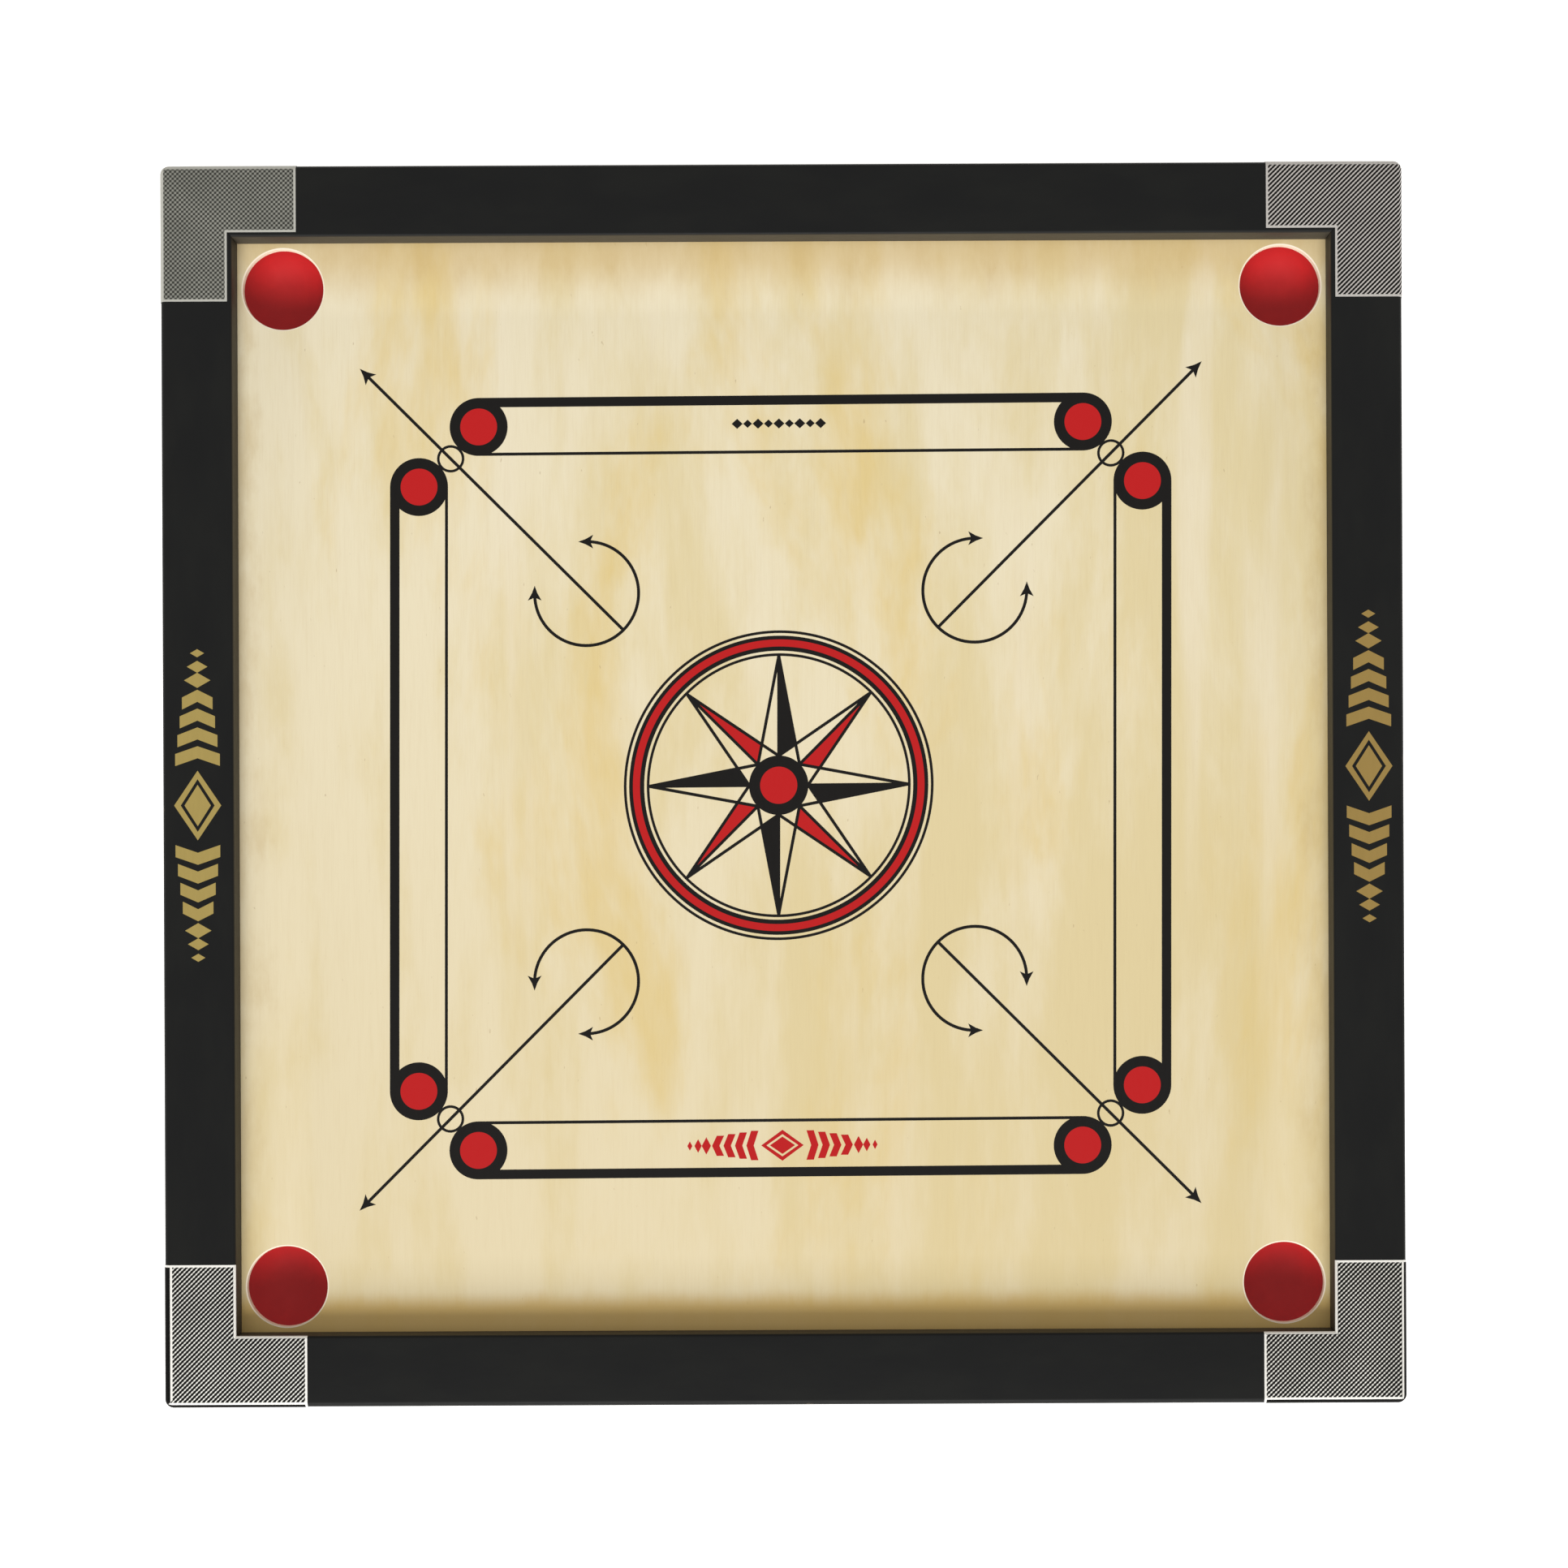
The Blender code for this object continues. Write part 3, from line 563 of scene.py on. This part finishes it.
class Artwork:
    """Flat shapes in millimetres, laid over each other in order, each in an ink or BARE."""

    def __init__(self):
        self.points = []
        self.outlines = []
        self.inks = []

    def shape(self, outline, ink):
        outline = [Vector(point) for point in outline]
        turning = sum(a.x * b.y - a.y * b.x for a, b in zip(outline, outline[1:] + outline[:1]))
        if turning < 0:  # the triangulation takes outlines anticlockwise
            outline.reverse()
        start = len(self.points)
        self.points += outline
        self.outlines.append(list(range(start, start + len(outline))))
        self.inks.append(ink)

    def disc(self, centre, radius, ink):
        steps = 32 + 2 * int(radius)
        self.shape(arc(centre, radius, 0, 360 - 360 / steps, steps - 1), ink)

    def ring(self, centre, outside, inside, ink, filling=BARE):
        self.disc(centre, outside, ink)
        self.disc(centre, inside, filling)

    def bar(self, start, end, width, ink):
        start, end = Vector(start), Vector(end)
        side = (end - start).orthogonal().normalized() * width / 2
        self.shape([start + side, start - side, end - side, end + side], ink)

    def band(self, centre, radius, width, start, end, ink):
        """A stroke along an arc."""
        steps = 64
        outer = arc(centre, radius + width / 2, start, end, steps)
        inner = arc(centre, radius - width / 2, end, start, steps)
        self.shape(outer + inner, ink)

    def arrow_head(self, tip, direction, length, half_width, ink):
        """A head with hollow sides and a notched back."""
        tip, forward = Vector(tip), Vector(direction).normalized()
        side = forward.orthogonal()
        marks = ((0.0, 0.0), (0.5, 0.39), (1.0, 1.0), (0.8, 0.0), (1.0, -1.0), (0.5, -0.39))
        self.shape([tip - forward * length * a + side * half_width * b for a, b in marks], ink)

    def lozenge(self, centre, half_length, half_height, ink):
        x, y = centre
        outline = [(x - half_length, y), (x, y - half_height), (x + half_length, y), (x, y + half_height)]
        self.shape(outline, ink)

    def ornament(self, length, height, ink):
        """A plain geometric band: a framed lozenge, chevrons and diamonds, the same both ways."""
        unit = length / ORNAMENT_UNITS
        half = height / 2
        self.lozenge((0, 0), 18.5 * unit, half, ink)
        self.lozenge((0, 0), 14 * unit, half * 0.72, BARE)
        self.lozenge((0, 0), 11 * unit, half * 0.56, ink)
        for way in (-1, 1):
            for step, share in enumerate((0.95, 0.85, 0.75, 0.65)):
                back = (21 + 10 * step) * unit * way
                nose = back + 10.5 * unit * way
                thick = 6.4 * unit * way
                rise = half * share
                outside = [(back + thick, rise), (nose, 0), (back + thick, -rise)]
                self.shape([(back, rise), *outside, (back, -rise), (nose - thick, 0)], ink)
            for step, share in enumerate((0.56, 0.44, 0.3)):
                middle = (66.5 + 7.2 * step) * unit * way
                self.lozenge((middle, 0), 7.2 * unit * share, half * share, ink)

    def moved(self, other, centre, quarter_turns=0):
        """Lays another artwork into this one."""
        turn = Matrix.Rotation(quarter_turns * math.pi / 2, 2)
        for outline, ink in zip(other.outlines, other.inks):
            self.shape([turn @ other.points[i] + Vector(centre) for i in outline], ink)

    def skewed(self, skew):
        """Leans both axes the same way, by a small slope."""
        lean = Matrix(((1.0, skew), (skew, 1.0)))
        self.points = [lean @ point for point in self.points]

    def films(self, origin, base, thickness):
        """A closed thin film for each ink, as {ink: bmesh}, with its underside at a height in metres."""
        points, _, faces, _, _, sources = delaunay_2d_cdt(self.points, [], self.outlines, 1, 1e-4, True)
        made = {}
        corners = {}
        for face, source in zip(faces, sources):
            ink = self.inks[max(source)] if source else BARE
            if ink == BARE:
                continue
            bm = made.setdefault(ink, bmesh.new())
            ring = []
            for index in face:
                key = (ink, index)
                if key not in corners:
                    point = points[index] * MM + Vector(origin)
                    corners[key] = bm.verts.new((point.x, point.y, base))
                ring.append(corners[key])
            bm.faces.new(ring)
        for bm in made.values():
            grown = bmesh.ops.extrude_face_region(bm, geom=bm.faces[:])
            raised = [item for item in grown["geom"] if isinstance(item, bmesh.types.BMVert)]
            bmesh.ops.translate(bm, vec=(0.0, 0.0, thickness), verts=raised)
        return made


# The printed layout, in millimetres from its own centre
BASE_NEAR = 162.2  # a base circle's distance along its side
BASE_FAR = 194.2  # and towards the rail
BASE_RADIUS = 15.55
BASE_RED_RADIUS = 9.9
ORNAMENT_UNITS = 166  # an ornament's length as it is drawn
RAIL_ORNAMENT = (ORNAMENT_UNITS, 25)  # length and height
RED_ORNAMENT = (102, 16.6)
RED_ORNAMENT_CENTRE = (1, 1.3 - BASE_FAR)
SMALL_BAND_CENTRE = (-1, BASE_FAR + 0.4)
SMALL_BAND_STEP = 5.6
BASELINE_THICK = 5.1
BASELINE_THIN = 1.6
STROKE = 1.65
ARROW_HEAD = (8.5, 4.0)  # length and half width
LOOP_HEAD = (8.0, 3.7)
SMALL_CIRCLE = (177.2, 7.35, 5.95)  # distance each way, outer and inner radius
ARROW_START = 84.5
ARROW_TIP = 226.0
LOOP_CENTRE = 104.2
LOOP_RADIUS = 27.9
LOOP_TIP = 4.5  # how far a loop's arrow heads pass its ends
CENTRE_RINGS = (
    (83.15, BLACK), (81.7, BARE), (80.3, BLACK), (78.3, RED), (74.5, BLACK), (72.2, BARE), (70.85, BLACK),
    (69.4, BARE),
)
STAR_TIP = 69.6
STAR_ROOT = 15.8
CENTRE_SPOT = (15.95, 10.0)  # outer and red radius
PRINT_OFFSET = Vector((-1.6, -0.1)) * MM  # the print isn't quite in the sheet's middle
CENTRE_OFFSET = (-1.05, 0.4)  # and its round centre, from another screen, not quite in the print's
PRINT_SKEW = 0.0046  # nor quite square, because its screen was stretched askew
INK_LIFT = 0.01 * MM
INK_THICKNESS = 0.03 * MM


def draw_side(art, quarter_turns):
    """A baseline, drawn on the back side and turned."""
    side = Artwork()
    outer = BASE_FAR + BASE_RADIUS
    inner = BASE_FAR - BASE_RADIUS
    thick = outer - BASELINE_THICK / 2
    thin = inner + BASELINE_THIN / 2
    side.bar((-BASE_NEAR, thick), (BASE_NEAR, thick), BASELINE_THICK, BLACK)
    side.bar((-BASE_NEAR, thin), (BASE_NEAR, thin), BASELINE_THIN, BLACK)
    for x in (-BASE_NEAR, BASE_NEAR):
        side.ring((x, BASE_FAR), BASE_RADIUS, BASE_RED_RADIUS, BLACK, RED)
    art.moved(side, (0, 0), quarter_turns)


def draw_corner(art, quarter_turns):
    """A small circle, a long arrow and an open loop, drawn at the back right and turned."""
    corner = Artwork()
    where, outside, inside = SMALL_CIRCLE
    corner.ring((where, where), outside, inside, BLACK)
    loop = (LOOP_CENTRE, LOOP_CENTRE)
    corner.band(loop, LOOP_RADIUS, STROKE, 92, 358, BLACK)
    ends = (((LOOP_TIP, LOOP_RADIUS), (1, 0)), ((LOOP_RADIUS, LOOP_TIP), (0, 1)))
    for tip, direction in ends:
        corner.arrow_head(Vector(loop) + Vector(tip), direction, *LOOP_HEAD, BLACK)
    shaft_end = ARROW_TIP - 3  # inside the head
    corner.bar((ARROW_START, ARROW_START), (shaft_end, shaft_end), STROKE, BLACK)
    corner.arrow_head((ARROW_TIP, ARROW_TIP), (1, 1), *ARROW_HEAD, BLACK)
    art.moved(corner, (0, 0), quarter_turns)


def draw_star(art):
    """Eight points round the centre ring, each with its clockwise half filled."""
    def spot(radius, angle):
        return Vector((radius * math.cos(math.radians(angle)), radius * math.sin(math.radians(angle))))

    half_step = math.radians(22.5)
    tip_x = STAR_TIP * math.cos(half_step)
    tip_y = STAR_TIP * math.sin(half_step)
    root_x = STAR_ROOT * math.cos(half_step)
    root_y = STAR_ROOT * math.sin(half_step)
    crossing = root_x + (tip_x - root_x) * root_y / (root_y + tip_y)
    for point in range(8):
        angle = 45 * point
        ink = BLACK if point % 2 == 0 else RED
        art.shape([spot(STAR_TIP, angle), spot(crossing, angle - 22.5), spot(STAR_ROOT, angle)], ink)
    for point in range(8):
        angle = 45 * point
        for aim in (-45, 0, 45):
            art.bar(spot(STAR_TIP, angle), spot(STAR_ROOT, angle + aim), STROKE, BLACK)
    art.ring((0, 0), *CENTRE_SPOT, BLACK, RED)


def draw_small_band():
    """Nine little lozenges in a row, large and small in turn."""
    band = Artwork()
    for step in range(-4, 5):
        half_height = 2.7 if step % 2 == 0 else 2.2
        band.lozenge((step * SMALL_BAND_STEP, 0), half_height * 1.1, half_height, BLACK)
    return band


def layout():
    centre = Artwork()
    for radius, ink in CENTRE_RINGS:
        centre.disc((0, 0), radius, ink)
    draw_star(centre)
    art = Artwork()
    art.moved(centre, CENTRE_OFFSET)
    for turns in range(4):
        draw_side(art, turns)
        draw_corner(art, turns)
    red_band = Artwork()
    red_band.ornament(*RED_ORNAMENT, RED)
    art.moved(red_band, RED_ORNAMENT_CENTRE)
    art.moved(draw_small_band(), SMALL_BAND_CENTRE)
    return art


def build_print():
    art = layout()
    art.skewed(PRINT_SKEW)
    films = art.films(PRINT_OFFSET, SHEET_TOP + INK_LIFT, INK_THICKNESS)
    black = ink_material("black_ink", srgb(24, 23, 23))
    red = ink_material("red_ink", srgb(190, 30, 33))
    add_piece("print_black", mesh_of("print_black", films[BLACK], black), "playing_face")
    add_piece("print_red", mesh_of("print_red", films[RED], red), "playing_face")


def build_rail_ornaments():
    middle = (HALF_BOARD + HALF_OPENING) / 2
    band = Artwork()
    band.ornament(*RAIL_ORNAMENT, BLACK)
    sides = (
        ("left", -middle, -10.0 * MM, 1, srgb(181, 161, 96)),
        ("right", middle, 8.3 * MM, 3, srgb(166, 140, 82)),
    )
    for name, x, y, turns, colour in sides:
        gold = ink_material(f"gold_{name}", colour, metallic=0.35, roughness=0.4)
        art = Artwork()
        art.moved(band, (0, 0), turns)
        films = art.films((x, y), RAIL_TOP + INK_LIFT, INK_THICKNESS)
        add_piece(f"ornament_{name}", mesh_of(f"ornament_{name}", films[BLACK], gold), "rail_lacquer")


# ---------------------------------------------------------------- sheet


def pocket_wall():
    """A pocket hole's wall as (radius, height) points, with eased rims and a step at each veneer."""
    ease = 0.8 * MM
    set_back = 0.06 * MM  # of every other veneer from the hole
    seam = 0.05 * MM
    ply = (SHEET_TOP - SHEET_UNDERSIDE) / PLIES
    wall = [(POCKET_RADIUS + ease, SHEET_TOP), (POCKET_RADIUS + ease * 0.3, SHEET_TOP - ease * 0.25)]
    wall.append((POCKET_RADIUS, SHEET_TOP - ease))
    for layer in range(1, PLIES):
        joint = SHEET_TOP - layer * ply
        above, below = (0.0, set_back) if layer % 2 else (set_back, 0.0)
        wall += [(POCKET_RADIUS + above, joint + seam), (POCKET_RADIUS + below, joint - seam)]
    return wall + [(POCKET_RADIUS, SHEET_UNDERSIDE + ease), (POCKET_RADIUS + ease, SHEET_UNDERSIDE)]


def build_sheet():
    """The ply sheet, with its four pocket holes."""
    sides = 96
    wall = pocket_wall()
    centres = [Vector((x, y)) * POCKET_CENTRE for x, y in CORNERS.values()]
    flat = [Vector((x * HALF_SHEET, y * HALF_SHEET)) for x, y in CORNERS.values()]
    outlines = [[0, 1, 2, 3]]
    for centre in centres:
        start = len(flat)
        rim = arc(centre, wall[0][0], 0, 360 - 360 / sides, sides - 1)
        flat += [Vector(point) for point in rim]
        outlines.append(list(range(start, start + sides)))
    points, _, faces, _, _, sources = delaunay_2d_cdt(flat, [], outlines, 1, 1e-7, True)

    bm = bmesh.new()
    levels = {}

    def corner(point, height):
        key = (round(point[0], 6), round(point[1], 6), round(height, 7))
        if key not in levels:
            levels[key] = bm.verts.new((point[0], point[1], height))
        return levels[key]

    def add_face(corners, slot):
        face = bm.faces.new(corners)
        face.material_index = slot

    for face, source in zip(faces, sources):
        if max(source) == 0:
            add_face([corner(points[i], SHEET_TOP) for i in face], 0)
            add_face([corner(points[i], SHEET_UNDERSIDE) for i in reversed(face)], 2)
    for start in range(4):
        a, b = flat[start], flat[(start + 1) % 4]
        spots = ((a, SHEET_TOP), (a, SHEET_UNDERSIDE), (b, SHEET_UNDERSIDE), (b, SHEET_TOP))
        add_face([corner(*spot) for spot in spots], 1)
    for centre in centres:
        for (radius, height), (radius_below, height_below) in zip(wall, wall[1:]):
            upper = arc(centre, radius, 0, 360, sides)
            lower = arc(centre, radius_below, 0, 360, sides)
            for step in range(sides):
                add_face(
                    [corner(upper[step], height), corner(upper[step + 1], height),
                     corner(lower[step + 1], height_below), corner(lower[step], height_below)],
                    1,
                )
    materials = (ply_face_material(), ply_edge_material(), ply_back_material())
    mesh = mesh_of("playing_sheet", bm, *materials, smooth_angle=30)
    add_piece("playing_sheet", mesh, "playing_face", "play_surface")


# ---------------------------------------------------------------- frame


def rail_section():
    foot_out = (HALF_BOARD - FOOT_CHAMFER, FOOT_CHAMFER)
    foot_in = (REBATE_FACE + FOOT_CHAMFER, FOOT_CHAMFER)
    return [
        (HALF_OPENING, LIP_UNDERSIDE),
        *arc(INNER_EDGE_CENTRE, INNER_EDGE_RADIUS, 180, 90, 8),
        *arc(OUTER_EDGE_CENTRE, OUTER_EDGE_RADIUS, 90, 0, 10),
        *arc(foot_out, FOOT_CHAMFER, 0, -90, 4),
        *arc(foot_in, FOOT_CHAMFER, -90, -180, 4),
        (REBATE_FACE, LIP_UNDERSIDE),
    ]


def build_rails():
    section = rail_section()
    half_corner = [45.0 * step / 8 for step in range(9)]
    right_end = [[corner_point(reach, height, a) for reach, height in section] for a in half_corner]
    left_end = [[Vector((-p.x, p.y, p.z)) for p in column] for column in reversed(right_end)]
    bm = bmesh.new()
    add_swept(bm, left_end + right_end)
    for side in (-1, 1):
        normal = Vector((side, 1, 0)).normalized()
        geometry = bm.verts[:] + bm.edges[:] + bm.faces[:]
        trimmed = bmesh.ops.bisect_plane(
            bm, geom=geometry, plane_co=-normal * MITRE_GAP / 2, plane_no=normal, clear_outer=True
        )
        rim = [item for item in trimmed["geom_cut"] if isinstance(item, bmesh.types.BMEdge)]
        bmesh.ops.edgeloop_fill(bm, edges=rim)
    notch = bmesh.new()
    half_width = BATTEN_HIGH.y + CLEARANCE
    notch_end = BATTEN_HIGH.x + CLEARANCE
    add_box(notch, (-half_width, -notch_end, -MM), (half_width, -REBATE_FACE + MM, NOTCH_TOP))
    mesh = carve(mesh_of("rail", bm, lacquer_material()), notch)
    smooth(mesh)
    for side, turns in SIDES.items():
        add_piece(f"{side}_rail", mesh, "rail_lacquer", f"rail_{side}", quarter_turns=turns)


def foil_section(strip):
    """A film's section, which leaves a strip of the rail bare or folds over the rail's inner edge."""
    skirt = RAIL_TOP - FOIL_SKIRT

    def skin(standoff):
        if strip:
            start = [(HALF_OPENING + strip, RAIL_TOP + standoff)]
        else:
            start = arc(INNER_EDGE_CENTRE, INNER_EDGE_RADIUS + standoff, 150, 90, 6)
        return [
            *start,
            *arc(OUTER_EDGE_CENTRE, OUTER_EDGE_RADIUS + standoff, 90, 0, 10),
            (HALF_BOARD + standoff, skirt),
        ]

    return skin(FOIL_STANDOFF + FOIL_THICKNESS) + list(reversed(skin(FOIL_STANDOFF)))


def build_foils():
    bends = [90.0 * step / 16 for step in range(17)]
    for quarter_turns, corner_name in enumerate(CORNERS):
        film = FILMS[corner_name]
        section = foil_section(film.strip)
        leg_start = HALF_BOARD - film.leg
        corner = [[corner_point(reach, height, a) for reach, height in section] for a in bends]
        front_leg = [Vector((leg_start, -reach, height)) for reach, height in section]
        right_leg = [Vector((reach, -leg_start, height)) for reach, height in section]
        bm = bmesh.new()
        add_swept(bm, [front_leg, *corner, right_leg])
        bmesh.ops.rotate(bm, matrix=Matrix.Rotation(quarter_turns * math.pi / 2, 3, "Z"), verts=bm.verts)
        mesh = mesh_of(f"foil_{corner_name}", bm, foil_material(f"film_{corner_name}", film), smooth_angle=30)
        add_piece(f"foil_{corner_name}", mesh, "corner_foil", f"corner_foil_{corner_name}")


# ---------------------------------------------------------------- pocket cups


def bowl_section(radius, top, floor, steps):
    """A quarter of an ellipse, from the rim down to the middle of the bowl."""
    angles = [math.pi / 2 * step / steps for step in range(steps)]
    return [(radius * math.cos(a), top - (top - floor) * math.sin(a)) for a in angles] + [(0.0, floor)]


def build_cups():
    top = CUP_HIGH.z
    flange_underside = top - CUP_FLANGE_THICKNESS
    inside = bowl_section(CUP_RADIUS, top, CUP_FLOOR, 32)
    outside = bowl_section(CUP_RADIUS + CUP_WALL, top, CUP_FLOOR - CUP_WALL, 32)
    outside = [(CUP_RADIUS + CUP_WALL, flange_underside)] + [p for p in outside if p[1] < flange_underside]
    ease = 0.4 * MM
    rim = (CUP_FLANGE_RADIUS - ease, flange_underside + ease)
    rim_top = (CUP_FLANGE_RADIUS - ease, top - ease)
    flange = [*arc(rim, ease, -90, 0, 4), *arc(rim_top, ease, 0, 90, 4)]
    bm = turned(list(reversed(outside)) + flange + inside, 96)
    mesh = mesh_of("cup", bm, red_plastic_material(), smooth_angle=50)
    for corner, (x, y) in CORNERS.items():
        where = (x * POCKET_CENTRE, y * POCKET_CENTRE, 0.0)
        add_piece(f"cup_{corner}", mesh, "pocket_plastic", f"pocket_cup_{corner}", location=where)


# ---------------------------------------------------------------- battens and fasteners


def nodes_named(prefix):
    return sorted(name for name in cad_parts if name.startswith(prefix))


def screw_holes():
    """The countersunk holes through a batten along X, a little wider than their screws."""
    low = BATTEN_LOW.z
    head_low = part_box("batten_screw_right_1")[0].z
    head = SCREW_HEAD_RADIUS + CLEARANCE
    shank = SCREW_SHANK_RADIUS + CLEARANCE
    profile = [
        (0.0, low - MM), (head, low - MM), (head, head_low + CLEARANCE),
        (shank, head_low + SCREW_HEAD_HEIGHT + CLEARANCE), (shank, TONGUE_TOP + MM), (0.0, TONGUE_TOP + MM),
    ]
    holes = bmesh.new()
    for node in nodes_named("batten_screw_right_") + nodes_named("batten_screw_left_"):
        screw_low, screw_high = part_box(node)
        hole = turned(profile, 32)
        bmesh.ops.translate(hole, verts=hole.verts, vec=(*((screw_low + screw_high) / 2).xy, 0.0))
        spare = bpy.data.meshes.new("hole")
        hole.to_mesh(spare)
        hole.free()
        holes.from_mesh(spare)
        bpy.data.meshes.remove(spare)
    return holes


def build_batten(name, node, material, quarter_turns, lap):
    """A batten along X before its turn, with eased edges."""
    half_width = BATTEN_HIGH.y
    half_lap = half_width + CLEARANCE
    low, high = BATTEN_LOW.z, BATTEN_HIGH.z
    edges = (-BATTEN_HIGH.x, -BATTEN_BODY_END, -half_lap, half_lap, BATTEN_BODY_END, BATTEN_HIGH.x)
    heights = [(low, TONGUE_TOP), (low, high), lap, (low, high), (low, TONGUE_TOP)]
    outline = []
    for index, (bottom, _) in enumerate(heights):
        outline += [(edges[index], bottom), (edges[index + 1], bottom)]
    for index, (_, top) in reversed(list(enumerate(heights))):
        outline += [(edges[index + 1], top), (edges[index], top)]
    bm = bmesh.new()
    side_face = bm.faces.new([bm.verts.new((x, -half_width, z)) for x, z in dict.fromkeys(outline)])
    grown = bmesh.ops.extrude_face_region(bm, geom=[side_face])
    moved = [item for item in grown["geom"] if isinstance(item, bmesh.types.BMVert)]
    bmesh.ops.translate(bm, vec=(0.0, 2 * half_width, 0.0), verts=moved)
    bmesh.ops.dissolve_limit(bm, angle_limit=0.01, verts=bm.verts, edges=bm.edges)
    bmesh.ops.bevel(bm, geom=bm.edges[:], offset=0.5 * MM, segments=2, affect="EDGES", profile=0.5)
    mesh = carve(mesh_of(name, bm, material), screw_holes())
    smooth(mesh)
    add_piece(name, mesh, "raw_wood", node, quarter_turns=quarter_turns)


def build_battens():
    wood = raw_wood_material("planed_softwood")
    low, high = BATTEN_LOW.z, BATTEN_HIGH.z
    middle = (low + high) / 2
    build_batten("crossways_batten", "batten_crossways", wood, 0, (low, middle - LAP_GAP / 2))
    build_batten("lengthways_batten", "batten_lengthways", wood, 1, (middle + LAP_GAP / 2, high))
    for node in nodes_named("mitre_spline_"):
        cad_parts[node].material_slots[0].material = wood


def tack_profile(low, high):
    """A domed head, a shank and a point."""
    angles = [math.radians(angle) for angle in range(0, 91, 10)]
    dome = [(TACK_HEAD_RADIUS * math.sin(a), low + TACK_HEAD_HEIGHT * (1 - math.cos(a))) for a in angles]
    shank = [(TACK_SHANK_RADIUS, low + TACK_HEAD_HEIGHT), (TACK_SHANK_RADIUS, high - TACK_POINT)]
    return [*dome, *shank, (0.0, high)]


def pin_profile(low, high):
    """A flat head with eased edges, a shank and a point."""
    ease = 0.25 * MM
    head_top = low + PIN_HEAD_HEIGHT
    return [
        (0.0, low), (PIN_HEAD_RADIUS - 0.3 * MM, low), (PIN_HEAD_RADIUS, low + ease),
        (PIN_HEAD_RADIUS, head_top - 0.2 * MM), (PIN_HEAD_RADIUS - 0.2 * MM, head_top),
        (PIN_SHANK_RADIUS, head_top), (PIN_SHANK_RADIUS, high - PIN_POINT), (0.0, high),
    ]


def screw_profile(low, high):
    """A countersunk head, a shank and a point."""
    ease = 0.2 * MM
    return [
        (0.0, low), (SCREW_HEAD_RADIUS - ease, low), (SCREW_HEAD_RADIUS, low + ease),
        (SCREW_SHANK_RADIUS, low + SCREW_HEAD_HEIGHT), (SCREW_SHANK_RADIUS, high - SCREW_POINT), (0.0, high),
    ]


def cross_recess(face):
    """The shape of a cross recess in a face, narrower towards its bottom."""
    half_long, half_wide, depth = 2.0 * MM, 0.45 * MM, 1.5 * MM
    arm = [Vector((half_long, -half_wide)), Vector((half_long, half_wide)), Vector((half_wide, half_wide))]
    outline = [Matrix.Rotation(turns * math.pi / 2, 2) @ point for turns in range(4) for point in arm]
    levels = ((face - 0.5 * MM, 1.0), (face + depth, 0.55))
    bm = bmesh.new()
    add_swept(bm, [[(*(point * share), level) for point in outline] for level, share in levels])
    return bm


def build_fasteners():
    """Tacks, pins and screws, each where its CAD node is."""
    steel = steel_material()
    kinds = (
        ("tack", "cup_tack_", tack_profile, 28),
        ("pin", "ply_pin_", pin_profile, 24),
        ("screw", "batten_screw_", screw_profile, 32),
    )
    for name, prefix, profile, sides in kinds:
        nodes = nodes_named(prefix)
        low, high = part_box(nodes[0])
        mesh = mesh_of(name, turned(profile(low.z, high.z), sides), steel, smooth_angle=40)
        if name == "screw":
            mesh = carve(mesh, cross_recess(low.z))
        for node in nodes:
            low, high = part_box(node)
            where = ((low.x + high.x) / 2, (low.y + high.y) / 2, 0.0)
            add_piece(f"steel_{node}", mesh, "fastener", node, location=where)


# ---------------------------------------------------------------- studio

PICTURE_WIDTH = 833.0 * MM  # what the picture spans at the height of the rails' tops
CAMERA_DISTANCE = 1.2
AXIS_OFFSET = Vector((0.02, -0.10))  # where the camera looks straight down, in picture widths
SENSOR_WIDTH = 36.0
FLOOR_HALF = 40.0


def build_floor():
    bm = bmesh.new()
    bmesh.ops.create_grid(bm, x_segments=1, y_segments=1, size=FLOOR_HALF)
    shader = Shader("pale_floor", Roughness=0.9, Base_Color=srgb(238, 238, 238))
    shader.set("Emission Color", (1.0, 1.0, 1.0, 1.0))
    shader.set("Emission Strength", 0.75)
    floor = add_object("floor", mesh_of("floor", bm, shader.material))
    floor.location.z = -0.2 * MM


def build_lights():
    """A broad key light from the front, under a warm even sky."""
    world = bpy.data.worlds.new("studio")
    bpy.context.scene.world = world
    world.use_nodes = True
    sky = world.node_tree.nodes["Background"]
    sky.inputs["Color"].default_value = (1.0, 0.95, 0.87, 1.0)
    sky.inputs["Strength"].default_value = 0.5
    key = bpy.data.lights.new("key", "SUN")
    key.energy = 2.7
    key.angle = math.radians(34)
    key.color = (1.0, 0.99, 0.97)
    lamp = bpy.data.objects.new("key", key)
    bpy.context.scene.collection.objects.link(lamp)
    lamp.rotation_euler = Vector((-0.04, -0.79, 0.62)).to_track_quat("Z", "Y").to_euler()
    bpy.context.scene.view_settings.view_transform = "Standard"


def build_camera():
    """A camera straight above, off the middle by as much as its shift takes back."""
    camera = bpy.data.cameras.new("camera")
    camera.sensor_width = SENSOR_WIDTH
    camera.lens = SENSOR_WIDTH * CAMERA_DISTANCE / PICTURE_WIDTH
    camera.shift_x, camera.shift_y = -AXIS_OFFSET
    eye = bpy.data.objects.new("camera", camera)
    bpy.context.scene.collection.objects.link(eye)
    eye.location = (*(AXIS_OFFSET * PICTURE_WIDTH), RAIL_TOP + CAMERA_DISTANCE)
    eye.rotation_euler = (0.0, 0.0, math.radians(-0.25))
    bpy.context.scene.camera = eye


build_sheet()
build_print()
build_rails()
build_rail_ornaments()
build_foils()
build_cups()
build_battens()
build_fasteners()
build_floor()
build_lights()
build_camera()
